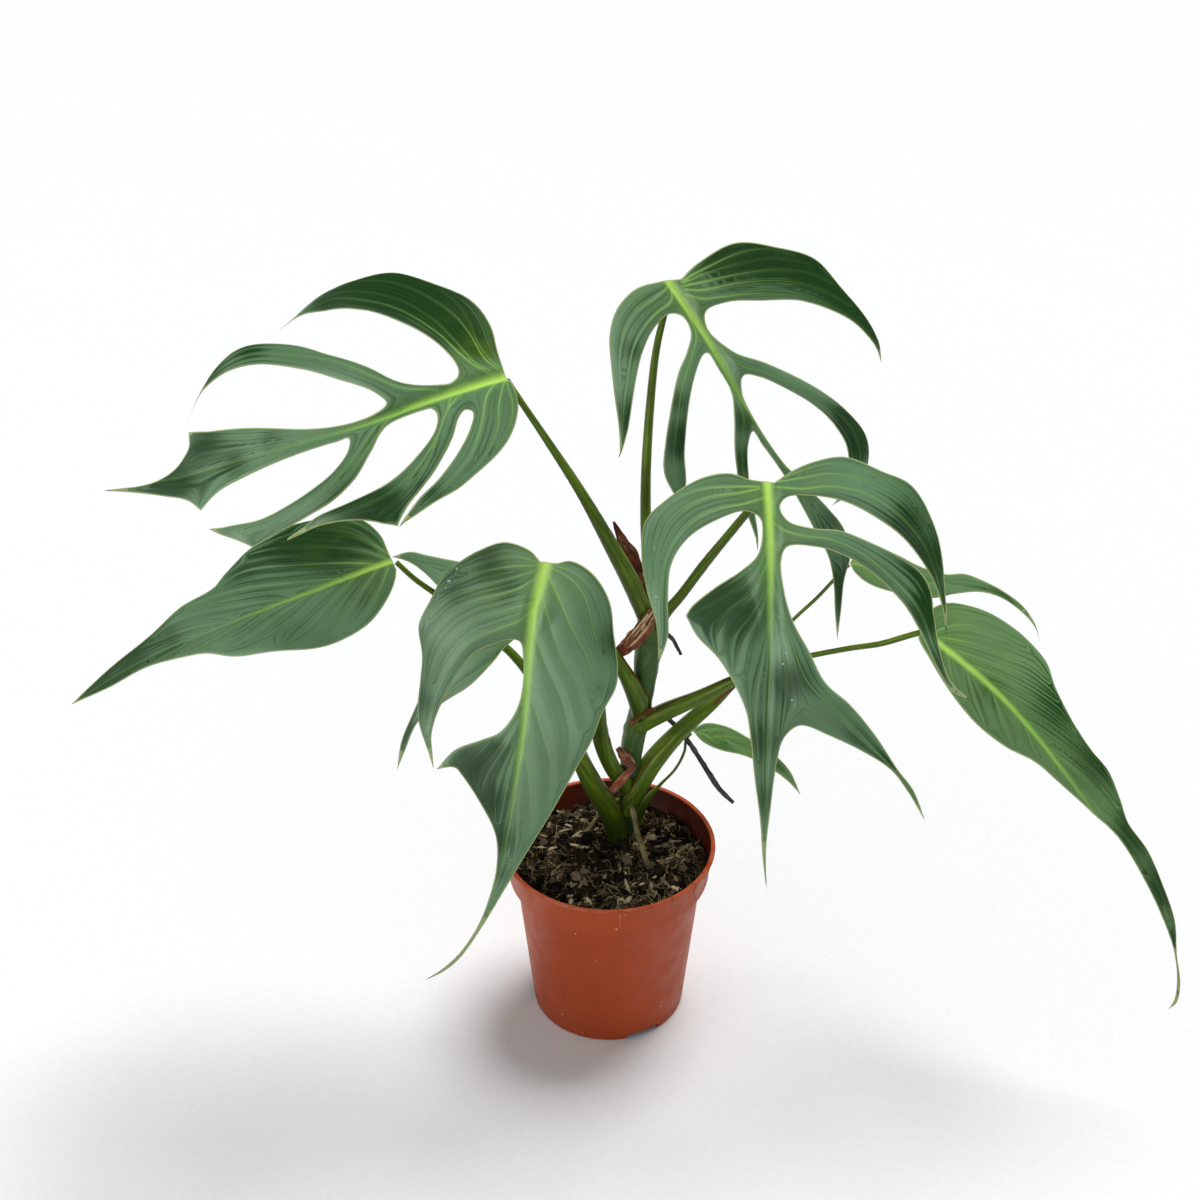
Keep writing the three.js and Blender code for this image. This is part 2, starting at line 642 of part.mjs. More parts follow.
function bladeOutline({ outline }) {
  const edge = [];
  let corner = outline[outline.length - 1].at(-1);
  for (const stretch of outline) {
    const points = [corner, ...stretch].map(([u, v]) => new THREE.Vector3(u, v, 0));
    const curve = new THREE.CatmullRomCurve3(points, false, "centripetal");
    const fine = curve.getPoints(points.length * 8).map((p) => new THREE.Vector2(p.x, p.y));
    edge.push(...thin(fine, OUTLINE_TOLERANCE).slice(1));
    corner = stretch.at(-1);
  }
  return edge;
}

// The arched, folded and waved sheet of the blade, cut to its outline
function blade(leaf) {
  const edge = bladeOutline(leaf);
  const reachU = [Math.min(...edge.map((p) => p.x)) - 2, Math.max(...edge.map((p) => p.x)) + 2];
  const offsets = edge.map((p) => p.y - through(leaf.midrib, p.x));
  const reachQ = [
    Math.min(...offsets, -RIB_HALF_WIDTH - 2) - 2,
    Math.max(...offsets, RIB_HALF_WIDTH + 2) + 2,
  ];
  const prism = new THREE.ExtrudeGeometry(new THREE.Shape(edge), { depth: 200, bevelEnabled: false });
  prism.translate(0, 0, -100);
  return bladeSlab(leaf, reachU, reachQ, 0, 0).intersect(solid(prism));
}

// A tapered stalk along a smooth route, with its half width across the view from the front and its
// half depth along that view, both made larger by `grow`
function stalk({ route, girth }, grow = 0, depths = girth, sides = STALK_SIDES) {
  const curve = new THREE.CatmullRomCurve3(route.map(vector), false, "centripetal");
  const steps = Math.max(route.length, Math.ceil(curve.getLength() / STALK_STEP));
  const read = (list, t) => through(list.map((value, i) => [i / (list.length - 1), value]), t);
  const rings = [];
  for (let i = 0; i <= steps; i++) {
    const t = i / steps;
    const centre = curve.getPointAt(t);
    const ahead = curve.getTangentAt(t);
    const across = ahead.clone().cross(new THREE.Vector3(0, 1, 0)).normalize();
    const deep = ahead.clone().cross(across).normalize();
    if (i === 0) centre.addScaledVector(ahead, -grow);
    if (i === steps) centre.addScaledVector(ahead, grow);
    rings.push(Array.from({ length: sides }, (_, k) => {
      const turn = (2 * Math.PI * k) / sides;
      return centre.clone()
        .addScaledVector(across, Math.cos(turn) * (read(girth, t) + grow))
        .addScaledVector(deep, Math.sin(turn) * (read(depths, t) + grow));
    }));
  }
  const positions = [];
  const index = [];
  rings.flat().forEach((p) => positions.push(p.x, p.y, p.z));
  for (let i = 0; i < steps; i++) {
    for (let k = 0; k < sides; k++) {
      const next = (k + 1) % sides;
      const [a, b, c, d] = [i * sides + k, i * sides + next, (i + 1) * sides + next, (i + 1) * sides + k];
      index.push(a, b, c, a, c, d);
    }
  }
  for (let k = 1; k < sides - 1; k++) {
    index.push(0, k + 1, k);
    index.push(steps * sides, steps * sides + k, steps * sides + k + 1);
  }
  const geometry = new THREE.BufferGeometry();
  geometry.setAttribute("position", new THREE.Float32BufferAttribute(positions, 3));
  geometry.setIndex(index);
  return solid(geometry);
}

const strip = (husk, grow = 0) => stalk(husk, grow, husk.girth.map(() => HUSK_HALF_DEPTH), 6);

// A turned solid about +Z from [radius, height] points that start and end on the axis
function turned(profile) {
  const points = profile.map(([radius, height]) => new THREE.Vector2(radius, height));
  return new THREE.LatheGeometry(points, POT_SIDES).rotateX(Math.PI / 2);
}

// Height of the ledge under the collar, and how much it rises outwards
const COLLAR_FOOT = POT_HEIGHT - POT_COLLAR_HEIGHT;
const COLLAR_RISE = 0.6;

function pot() {
  const wallTop = POT_WALL_TOP_RADIUS - POT_WALL;
  const body = solid(turned([
    [0, 0],
    [POT_BASE_RADIUS - 1, 0],
    [POT_BASE_RADIUS, 1],
    [POT_WALL_TOP_RADIUS, COLLAR_FOOT],
    [POT_COLLAR_FOOT_RADIUS, COLLAR_FOOT + COLLAR_RISE],
    [POT_RIM_RADIUS - 1.4, POT_HEIGHT - 2.6],
    [POT_RIM_RADIUS, POT_HEIGHT - 1.8],
    [POT_RIM_RADIUS, POT_HEIGHT - 0.4],
    [POT_RIM_RADIUS - 0.6, POT_HEIGHT],
    [POT_RIM_RADIUS - 2.2, POT_HEIGHT],
    [POT_COLLAR_FOOT_RADIUS - POT_WALL, COLLAR_FOOT + COLLAR_RISE + POT_WALL],
    [wallTop, COLLAR_FOOT + POT_WALL],
    [POT_BASE_RADIUS - POT_WALL, POT_FLOOR],
    [0, POT_FLOOR],
  ]));
  const drain = (i) => {
    const turn = DRAIN_TURN + (i * 2 * Math.PI) / DRAIN_COUNT;
    const box = new THREE.BoxGeometry(...DRAIN_SIZE);
    box.translate(POT_BASE_RADIUS, 0, DRAIN_SIZE[2] / 2 - 1);
    box.rotateZ(turn);
    return solid(box);
  };
  return Array.from({ length: DRAIN_COUNT }, (_, i) => drain(i)).reduce((a, b) => a.subtract(b), body);
}

// Crumbly surface of the soil: low mounds, a little higher towards the front
function soilTop(x, y) {
  const mounds = Math.sin(x * 0.15 + 1) * Math.cos(y * 0.14) + 0.5 * Math.sin(x * 0.2 - y * 0.22);
  return SOIL_LEVEL + SOIL_RELIEF * mounds - SOIL_FRONT_RISE * y;
}

function soil() {
  const inner = (radius) => radius - POT_WALL - GAP;
  const edge = inner(POT_COLLAR_FOOT_RADIUS) + 0.8;
  const rings = [edge, 46, 36, 26, 16, 7, 0];
  const body = turned([
    [0, POT_FLOOR + GAP],
    [inner(POT_BASE_RADIUS) - 0.2, POT_FLOOR + GAP],
    [inner(POT_WALL_TOP_RADIUS) - 0.1, COLLAR_FOOT + POT_WALL + GAP],
    [inner(POT_COLLAR_FOOT_RADIUS) - 0.1, COLLAR_FOOT + COLLAR_RISE + POT_WALL + GAP + 0.1],
    ...rings.map((radius) => [radius, SOIL_LEVEL]),
  ]);
  const place = body.attributes.position;
  for (let i = 0; i < place.count; i++) {
    if (place.getZ(i) > SOIL_LEVEL - 0.01) place.setZ(i, soilTop(place.getX(i), place.getY(i)));
  }
  return solid(body);
}

// The petiole runs up to the underside of its blade and is trimmed there, clear of the midrib
function petiole(leaf) {
  const { route, girth } = PETIOLES[leaf.name];
  const full = { route: [...route, leaf.base], girth };
  const reachU = [-girth.at(-1) - TRIM_MARGIN, TRIM_LENGTH];
  const above = bladeSlab(leaf, reachU, [-TRIM_HALF_WIDTH, TRIM_HALF_WIDTH], TRIM_HEIGHT, GAP);
  const body = stalk(full).subtract(above.transform(leafMatrix(leaf).elements));
  return { body, grown: stalk(full, GAP) };
}

const plant = new THREE.Group();
const cutters = [];

function add(name, body, colour, matrix = new THREE.Matrix4()) {
  const mesh = new THREE.Mesh(geometryOf(body), new THREE.MeshStandardMaterial(colour));
  mesh.name = name;
  mesh.applyMatrix4(matrix);
  plant.add(mesh);
}

// Cuts a new piece clear of every stalk so far, and keeps its own outline for the pieces after it
function addGrown(name, body, grown, colour) {
  add(name, cutters.reduce((rest, cutter) => rest.subtract(cutter), body), colour);
  cutters.push(grown);
}

add("pot", pot(), COLOURS.pot);
addGrown("stem", stalk(STEM), stalk(STEM, GAP), COLOURS.stem);
for (const leaf of LEAVES) {
  add(`blade_${leaf.name}`, blade(leaf), COLOURS.blade, leafMatrix(leaf));
  const { body, grown } = petiole(leaf);
  addGrown(`petiole_${leaf.name}`, body, grown, COLOURS.petiole);
}
for (const [name, root] of Object.entries(ROOTS)) {
  addGrown(name, stalk(root, 0, root.girth, 6), stalk(root, GAP, root.girth, 6), COLOURS.root);
}
for (const [name, husk] of Object.entries(HUSKS)) {
  addGrown(name, strip(husk), strip(husk, GAP), COLOURS.husk);
}
add("soil", cutters.reduce((rest, cutter) => rest.subtract(cutter), soil()), COLOURS.soil);

export default plant;
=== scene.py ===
# A potted flame-leaved monstera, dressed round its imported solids. Numbers are millimetres in the part's
# frame until a mesh is made, which is in metres. Colours are sRGB values from 0 to 255.
import math
import random

import bpy
import numpy as np
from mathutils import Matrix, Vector, geometry, kdtree, noise


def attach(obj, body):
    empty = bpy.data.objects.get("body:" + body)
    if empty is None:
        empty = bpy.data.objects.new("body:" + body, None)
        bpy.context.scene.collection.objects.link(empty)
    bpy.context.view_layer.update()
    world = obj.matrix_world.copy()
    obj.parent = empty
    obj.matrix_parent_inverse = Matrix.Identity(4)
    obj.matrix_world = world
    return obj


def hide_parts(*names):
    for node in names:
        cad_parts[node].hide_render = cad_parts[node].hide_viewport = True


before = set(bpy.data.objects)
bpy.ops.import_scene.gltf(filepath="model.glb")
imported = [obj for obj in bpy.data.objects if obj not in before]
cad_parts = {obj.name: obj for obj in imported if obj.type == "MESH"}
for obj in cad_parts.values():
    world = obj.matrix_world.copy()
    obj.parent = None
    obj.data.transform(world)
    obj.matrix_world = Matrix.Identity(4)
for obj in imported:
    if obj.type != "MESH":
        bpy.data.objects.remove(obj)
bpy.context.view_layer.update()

METRES = 0.001
UP = np.array([0.0, 0.0, 1.0])

# Blades: where each starts and ends, and the way its upper side faces; how far its middle rises, the slopes
# of its halves and how they droop; the height, length and start of its waves; the width, paleness and pale
# reach of its midrib, and the midrib as (u, v) points. u runs from base to tip, v to the left from above.
LEAVES = {
    "upper_left": dict(
        base=(-51, -15, 409), tip=(-244, -45, 363), facing=(-0.11, -0.55, 0.83),
        arch=26, fold=(0.1, 0.1), droop=0.0035, wave=(2, 70, 0.5), rib=(2.7, 1, 0.5),
        midrib=[(0, 0), (32, 9), (76.5, 18.5), (151, 16), (200.5, 0)],
    ),
    "back_right": dict(
        base=(31, 45, 430), tip=(123, 15, 237), facing=(0.41, -0.85, 0.33),
        arch=28, fold=(0.08, 0.08), droop=0.0035, wave=(2, 80, 2), rib=(2.2, 0.9, 0.5),
        midrib=[(0, 0), (33, 0), (72, -0.5), (152.5, 8), (216, 0)],
    ),
    "front_right": dict(
        base=(77, -35, 361), tip=(78, -125, 181), facing=(0, -0.89, 0.45),
        arch=24, fold=(0.08, 0.08), droop=0.003, wave=(1.8, 75, 1), rib=(2.5, 1, 0.45),
        midrib=[(0, 0), (28.5, 0.5), (74, -0.5), (142.5, -2), (201, 0)],
    ),
    "front_left": dict(
        base=(-32, -48, 322), tip=(-98, -95, 94), facing=(-0.12, -0.97, 0.23),
        arch=26, fold=(0.1, 0.1), droop=0.004, wave=(2.2, 85, 3), rib=(3, 1, 0.62),
        midrib=[(0, 0), (25, 2), (87.5, 15), (178, 21), (242, 0)],
    ),
    "left": dict(
        base=(-112, 5, 293), tip=(-276, -50, 240), facing=(-0.14, -0.43, 0.89),
        arch=14, fold=(0.12, 0.12), droop=0.004, wave=(2.4, 60, 0), rib=(1.9, 0.85, 0.6),
        midrib=[(0, 0), (43.5, 4), (99, 3.5), (127, 1), (181, 0)],
    ),
    "behind_left": dict(
        base=(-32, -12, 279), tip=(-112, -40, 191), facing=(-0.34, -0.76, 0.55),
        arch=12, fold=(0.08, 0.08), droop=0.003, wave=(1.2, 60, 1), rib=(1.6, 0.5, 0.5),
        midrib=[(0, 0), (32.5, 3.5), (65, -2.5), (82.5, -4), (122, 0)],
    ),
    "far_right": dict(
        base=(164, -12, 260), tip=(297, -105, 83), facing=(0.4, -0.55, 0.73),
        arch=24, fold=(0.1, -0.45), droop=0.004, wave=(2.2, 75, 1.5), rib=(1.9, 0.9, 0.65),
        midrib=[(0, 0), (48.5, 7), (122, 9.5), (188, 16), (240, 0)],
    ),
    "small_right": dict(
        base=(132, 50, 264), tip=(231, 15, 235), facing=(0.1, -0.45, 0.89),
        arch=14, fold=(0.1, 0.1), droop=0.006, wave=(1, 45, 0), rib=(1.3, 0.3, 0.5),
        midrib=[(0, 0), (32.5, -2), (66.5, 7), (83, 12), (109, 0)],
    ),
    "small_low": dict(
        base=(48, 42, 157), tip=(108, 15, 132), facing=(0.12, -0.51, 0.85),
        arch=7, fold=(0.12, 0.12), droop=0.008, wave=(0.5, 40, 0), rib=(1, 0.15, 0.5),
        midrib=[(0, 0), (15.5, 2), (32.5, 5.5), (62, 4), (70.5, 0)],
    ),
}
# Outlines as (u, v) points, in stretches that each start at the last one's end
OUTLINES = {
    "upper_left": [
        # back lobe, outer edge
        [(0, -14), (0, -31), (5.5, -48), (19, -65), (37.5, -77.5), (57, -73.5), (79, -71), (100, -51.5)],
        # back lobe, inner edge and the next lobe to its tip
        [(89.5, -59), (73.5, -55), (59, -47), (46, -40), (34, -30), (24.5, -16.5), (20.5, -4), (25, 2),
         (35.5, 3.5), (49, -0.5), (61, -11), (78, -24.5), (96.5, -42), (115, -44.5), (130.5, -36),
         (143.5, -23.5), (153, -8.5)],
        # second lobe, inner edge to the first tip corner
        [(144, -22), (136, -27), (124, -30), (109.5, -29.5), (93.5, -22), (76, -8.5), (61, 3), (57, 9.5),
         (63.5, 13.5), (78, 15.5), (94.5, 13.5), (122.5, 3.5), (152, -6)],
        # end lobe, back corner to the drip tip
        [(154, 1), (163, 8.5), (177, 9), (202, -1)],
        # drip tip to the front corner
        [(170.5, 20), (159.5, 28), (154, 36)],
        # end lobe, front edge and fifth lobe to its tip
        [(144.5, 30.5), (127, 27.5), (102, 25), (84.5, 24), (78, 24), (79.5, 31.5), (88, 40.5), (99, 46),
         (115, 50.5), (130, 52.5), (152, 47)],
        # fifth lobe, corner
        [(145, 54), (133.5, 63.5)],
        # fifth lobe, front edge and fourth lobe to its tip
        [(120, 60.5), (104.5, 58), (92, 55), (80, 47.5), (69.5, 35), (60, 23), (48, 18), (38, 15.5),
         (35.5, 19.5), (38, 28.5), (52.5, 43), (67, 52.5), (84.5, 58), (101, 60), (122, 65)],
        # fourth lobe, end edge
        [(109, 64), (92, 66), (76, 69.5), (66, 73)],
        # slit beside the front lobe
        [(58.5, 63), (42, 47), (31.5, 33.5), (25.5, 22), (21.5, 18.5), (19, 20.5), (22.5, 30), (31, 41.5),
         (42, 52), (53.5, 60.5), (61, 68.5), (65.5, 73.5)],
        # front lobe, outer edge
        [(47.5, 63.5), (32, 57), (14.5, 45), (3, 30.5), (-3, 14.5), (-2.5, 4.5), (-0.5, -0.5)],
    ],
    "back_right": [
        # left back lobe, outer edge
        [(-5.5, -6), (-7.5, -17), (-4, -30), (5, -40.5), (19.5, -50), (35.5, -60), (56.5, -71)],
        # left back lobe, inner edge and second lobe to its tip
        [(46, -61), (28, -43.5), (18, -32), (11.5, -21), (9.5, -10.5), (13.5, -5.5), (21.5, -6.5),
         (28, -13.5), (34.5, -23.5), (44, -34), (59.5, -47), (73.5, -54), (92, -54.5)],
        # second lobe, inner edge and third lobe to its tip
        [(85.5, -47.5), (69, -40.5), (52.5, -29.5), (40, -17), (34, -7.5), (34.5, -4.5), (42, -4),
         (54, -4.5), (66.5, -10), (81.5, -18.5), (101, -25.5), (114.5, -28), (135.5, -30)],
        # third lobe, inner edge and left side of the end lobe to its corner
        [(114, -23.5), (96.5, -18), (83, -11), (78.5, -5), (88.5, -3), (106.5, 0), (125, 2), (144, 4),
         (164.5, 6.5), (182, 4.5)],
        # end lobe, down to the drip tip
        [(197, 1.5), (216, -0.5)],
        # drip tip up to the right corner
        [(198, 5.5), (181.5, 11.5), (172, 18)],
        # end lobe, right side and right middle lobe to its tip
        [(154, 20), (137, 15.5), (116.5, 8), (101, 3), (76.5, 0), (59.5, 1), (52.5, 5.5), (57, 12),
         (70, 22), (84.5, 31), (100.5, 37.5), (114.5, 39), (128.5, 31.5), (137, 18)],
        # right middle lobe, outer edge and right back lobe to its tip
        [(134.5, 39), (124, 51.5), (115.5, 54), (98, 48), (74, 34.5), (53.5, 19.5), (39.5, 7), (25, 3),
         (17.5, 7), (19, 19), (28, 36.5), (41, 58.5), (60.5, 75.5), (74.5, 80.5), (91.5, 83.5)],
        # right back lobe, outer edge
        [(72, 87), (50, 86.5), (31.5, 83), (11.5, 61.5), (-1.5, 42), (-3, 20), (-1, 6)],
    ],
    "front_right": [
        # left back lobe, outer edge
        [(-2.5, -8.5), (-5.5, -18.5), (-3, -33), (7.5, -50), (18, -60), (34, -62), (51, -59.5),
         (65, -55.5), (86, -54)],
        # left back lobe, inner edge and left end lobe to its corner
        [(71.5, -49.5), (54.5, -49.5), (37.5, -47.5), (25.5, -39.5), (17, -26), (12.5, -11.5), (16, -4.5),
         (24, -3.5), (33.5, -6), (41, -14.5), (48.5, -26.5), (57.5, -38), (62, -41)],
        # left side of the end lobe to the drip tip
        [(72, -35.5), (82.5, -25.5), (95.5, -17.5), (108.5, -12), (125, -9.5), (142.5, -7.5),
         (163.5, -4.5), (185, -2.5), (202, 0)],
        # drip tip up and right tail to its tip
        [(179.5, -1), (158.5, 0.5), (135, 3), (121.5, 6.5), (115.5, 14), (121, 29), (128.5, 44),
         (138.5, 59), (149.5, 67.5), (166, 77.5)],
        # right tail, outer edge and right end lobe to its tip
        [(149, 70.5), (139, 63), (121.5, 51.5), (105.5, 38.5), (94, 26), (78.5, 18), (64.5, 10.5),
         (50, 6.5), (36, 5.5), (29.5, 8.5), (29.5, 22), (33, 34), (40, 46.5), (48.5, 56.5), (59, 66),
         (71.5, 73), (87.5, 80.5), (101, 89.5), (107.5, 101)],
        # right end lobe, outer edge to the slit
        [(95.5, 88.5), (79.5, 82.5), (64, 80.5), (52, 79.5), (43.5, 75), (35, 63.5), (27.5, 48.5),
         (22, 34.5), (20.5, 20), (17, 9), (10.5, 5.5), (6, 9), (5.5, 23), (8.5, 37.5), (16, 52),
         (26.5, 66), (43, 78.5), (57, 84), (74, 86.5)],
        # right back lobe, outer edge
        [(57, 87), (36, 86), (20.5, 82), (1, 71), (-6, 56.5), (-13, 38.5), (-11, 23.5), (-6, 11), (-1, 3)],
    ],
    "front_left": [
        # right side, base to the drip tip
        [(-3, 4.5), (-6, 11), (-5, 19.5), (-0.5, 28), (8, 36), (22.5, 42.5), (37.5, 49.5), (45.5, 51),
         (57.5, 48.5), (72, 47.5), (89.5, 44), (116, 38.5), (141.5, 32.5), (165, 27.5), (191.5, 22),
         (218.5, 15), (232, 8.5), (243.5, 0)],
        # drip tip and left end lobe to its corner
        [(229.5, 8), (214, 14.5), (192.5, 19.5), (171.5, 21), (152.5, 20), (135.5, 15), (120.5, 3),
         (109.5, -9.5), (107, -14), (111, -22.5)],
        # left end lobe, upper edge and sinus to the left lobe tip
        [(98.5, -16.5), (89, -5.5), (82, 2.5), (70, 7), (58.5, 7), (42.5, 2.5), (36.5, -1), (36.5, -6),
         (40.5, -12.5), (47.5, -20.5), (62, -26), (75.5, -29), (93.5, -30), (111.5, -24)],
        # left side up to the base
        [(99.5, -32.5), (89, -40), (73.5, -43.5), (60, -46), (45, -51.5), (31.5, -49.5), (19, -47),
         (11.5, -42), (2.5, -33.5), (-5, -22.5), (-5, -9.5), (-1.5, -3)],
    ],
    "left": [
        # back side
        [(1, -6), (1, -17.5), (7, -32), (21, -43.5), (36.5, -43.5), (54, -37.5), (69, -35), (82.5, -27.5),
         (91, -21), (110.5, -17.5), (129.5, -11), (155, -6), (181, 0)],
        # front side
        [(158.5, 4.5), (138, 5.5), (119.5, 10.5), (107, 15), (93.5, 24.5), (76.5, 31), (57.5, 37),
         (42.5, 37.5), (24.5, 34), (9.5, 21), (1.5, 7.5), (1, 1.5)],
    ],
    "behind_left": [
        # back edge, base to the upper lobe tip
        [(-1.5, -6.5), (0, -17.5), (9, -35.5), (19, -50.5), (28.5, -65.5), (34.5, -75), (44, -81.5)],
        # upper lobe, lower edge and left side to the drip tip
        [(38, -70.5), (35.5, -59), (35.5, -45.5), (38.5, -33.5), (45.5, -25.5), (58.5, -20),
         (75.5, -15.5), (93, -11), (108.5, -7), (122.5, 0)],
        # drip tip and right side to the base
        [(110.5, -2.5), (93.5, -6), (74, -1.5), (58.5, 3), (43, 3.5), (33, 2.5), (18, 3.5), (6, 5),
         (0.5, 2)],
    ],
    "far_right": [
        # back side, base to the drip tip
        [(-6, 12), (-3.5, 24), (7, 35), (20, 43.5), (36, 49.5), (51, 47.5), (64, 38), (81, 32.5),
         (99.5, 31.5), (115, 33.5), (130, 29), (142.5, 25), (161.5, 27.5), (182.5, 26.5), (203, 24),
         (219, 16.5), (234.5, 11.5), (241, 5.5), (240.5, -1.5)],
        # front side, drip tip to the base
        [(238, 5), (229.5, 11), (215.5, 15.5), (193, 17), (167.5, 16.5), (145, 14.5), (124, 8.5),
         (103, 3.5), (86.5, 0), (71.5, -6.5), (52.5, -10.5), (32.5, -10), (13.5, -7), (0.5, -3.5),
         (-1, 0)],
    ],
    "small_right": [
        # back side, base to the drip tip
        [(2, 8), (17, 11), (34.5, 7), (48.5, 7.5), (58, 12.5), (69.5, 14), (82, 14.5), (94.5, 13),
         (104, 8), (110, 0.5)],
        # front side, drip tip to the base
        [(105, 6), (94.5, 9.5), (81.5, 10), (69.5, 6.5), (57.5, -2), (46.5, -10.5), (31, -14),
         (14, -12.5), (4, -6.5), (-1, 0)],
    ],
    "small_low": [
        # back side
        [(3.5, 7), (14, 10.5), (30, 10.5), (47, 10), (58.5, 7.5), (70.5, 0)],
        # front side
        [(60.5, 1.5), (48, 1.5), (32.5, -0.5), (19, -4.5), (8.5, -4.5), (-1, 0)],
    ],
}
# Stalks, roots and husks: the points that each runs through, and its half widths, evenly from end to end
STEM = dict(
    route=[(11, 28, 86), (11, 26, 102), (12, 24, 116), (11, 21, 131), (12, 18, 149), (13, 15, 167),
           (16, 12, 189), (19, 10, 207), (20, 8, 228), (21, 7, 245), (20, 6, 260)],
    girth=[5, 5.4, 5.6, 5.6, 5.8, 6.4, 5.8, 5.4, 6.8, 6.8, 5.2],
)
PETIOLES = {
    "upper_left": dict(
        route=[(19, 6, 258), (11, 2, 283), (1, -1, 306), (-15, -6, 341), (-32, -11, 374), (-45, -14, 398)],
        girth=[4.6, 5.2, 4.2, 3, 2.3, 1.8, 1.6],
    ),
    "back_right": dict(
        route=[(21, 9, 258), (20, 17, 285), (19, 25, 306), (19, 30, 333), (21, 37, 370), (24, 41, 399)],
        girth=[3, 3, 2.8, 2.5, 2.2, 1.9, 1.6],
    ),
    "front_right": dict(
        route=[(23, 6, 240), (29, 2, 261), (37, -4, 277), (49, -12, 302), (63, -21, 329), (71, -27, 345)],
        girth=[3.4, 3, 2.7, 2.6, 2.3, 2.1, 1.8],
    ),
    "front_left": dict(
        route=[(11, 16, 136), (3, 9, 154), (-2, 5, 169), (-5, 1, 184), (-6, -4, 201), (-7, -10, 221),
               (-11, -18, 246), (-18, -28, 273), (-26, -38, 299)],
        girth=[5.2, 4.8, 4.6, 4.4, 4, 3.4, 2.8, 2.3, 2, 1.8],
    ),
    "left": dict(
        route=[(5, 20, 91), (4, 19, 102), (2, 16, 115), (-2, 12, 129), (-8, 8, 144), (-16, 5, 166),
               (-27, 4, 193), (-37, 6, 210), (-51, 8, 231), (-69, 8, 250), (-89, 7, 269), (-102, 6, 281)],
        girth=[5.4, 6.4, 6.6, 6.2, 5.4, 4.2, 3.4, 2.8, 2.4, 2, 1.7, 1.5, 1.4],
    ),
    "behind_left": dict(
        route=[(17, 9, 191), (15, 4, 206), (11, 1, 220), (4, -2, 236), (-4, -5, 250), (-15, -8, 262),
               (-26, -10, 271)],
        girth=[4.6, 5.2, 5, 4, 3, 2.2, 1.7, 1.5],
    ),
    "far_right": dict(
        route=[(16, 11, 183), (28, 8, 193), (49, 4, 207), (70, 2, 221), (88, 0, 231), (107, -2, 238),
               (127, -4, 244), (143, -7, 249), (154, -10, 255)],
        girth=[5.2, 5, 4.2, 3.4, 2.4, 1.8, 1.5, 1.5, 1.6, 1.6],
    ),
    "small_right": dict(
        route=[(11, 17, 118), (15, 15, 135), (23, 17, 151), (33, 20, 164), (46, 24, 177), (58, 28, 187),
               (78, 35, 207), (101, 42, 232), (114, 46, 244), (124, 49, 255)],
        girth=[4.6, 6, 6, 5, 4.2, 3.2, 1.8, 1.1, 1, 1, 0.9],
    ),
    "small_low": dict(
        route=[(17, 28, 93), (17, 30, 102), (20, 30, 112), (25, 31, 121), (30, 32, 127), (38, 34, 136),
               (43, 37, 146), (44, 40, 152)],
        girth=[2.2, 2.4, 2.3, 2, 1, 0.8, 0.8, 0.8, 0.8],
    ),
}
ROOTS = {
    "root_right": dict(
        route=[(17, 16, 180), (28, 26, 180), (36, 31, 170), (45, 31, 157), (54, 29, 142), (63, 27, 127),
               (71, 26, 118)],
        girth=[1.4, 1.4, 1.3, 1.3, 1.4, 1.5, 1],
    ),
    "root_stub": dict(
        route=[(23, 6, 250), (32, 0, 249), (38, -4, 240)],
        girth=[1.3, 1.1, 0.8],
    ),
    "root_front": dict(
        route=[(11, 16, 131), (14, 7, 124), (16, 1, 116), (19, -4, 108), (22, -9, 99), (23, -10, 92)],
        girth=[1.6, 1.6, 1.5, 1.5, 1.3],
    ),
    "root_left": dict(
        route=[(10, 24, 122), (-1, 24, 119), (-7, 23, 109), (-13, 21, 99), (-15, 21, 92)],
        girth=[1.3, 1.3, 1.2, 1.2, 1],
    ),
}
HUSKS = {
    "husk_top": dict(
        route=[(17, 11, 262), (14, 11, 280), (12, 10, 292), (7, 8, 303), (2, 4, 317)],
        girth=[2.8, 3.6, 4, 2.8, 0.6],
    ),
    "husk_torn": dict(
        route=[(24, 0.4, 266), (19, -0.6, 257), (12, -0.6, 247), (5, 0.6, 238)],
        girth=[2.6, 4.4, 4.8, 3.2],
    ),
    "husk_ring": dict(
        route=[(11, 6, 188), (17, 4.4, 194), (24, 4.6, 199)],
        girth=[1.6, 1.5, 1.2],
    ),
    "husk_low": dict(
        route=[(1, 5, 142), (7, 4.4, 151), (14, 5.6, 160)],
        girth=[2.2, 2.6, 1.6],
    ),
    "husk_mid": dict(
        route=[(5, 11, 168), (10, 8.6, 162), (14, 9, 155)],
        girth=[1.6, 3.6, 1.6],
    ),
    "husk_strand": dict(
        route=[(46, 23, 174), (56, 24, 185), (62, 25, 192), (69, 26, 198)],
        girth=[0.9, 0.8, 0.7, 0.6],
    ),
}
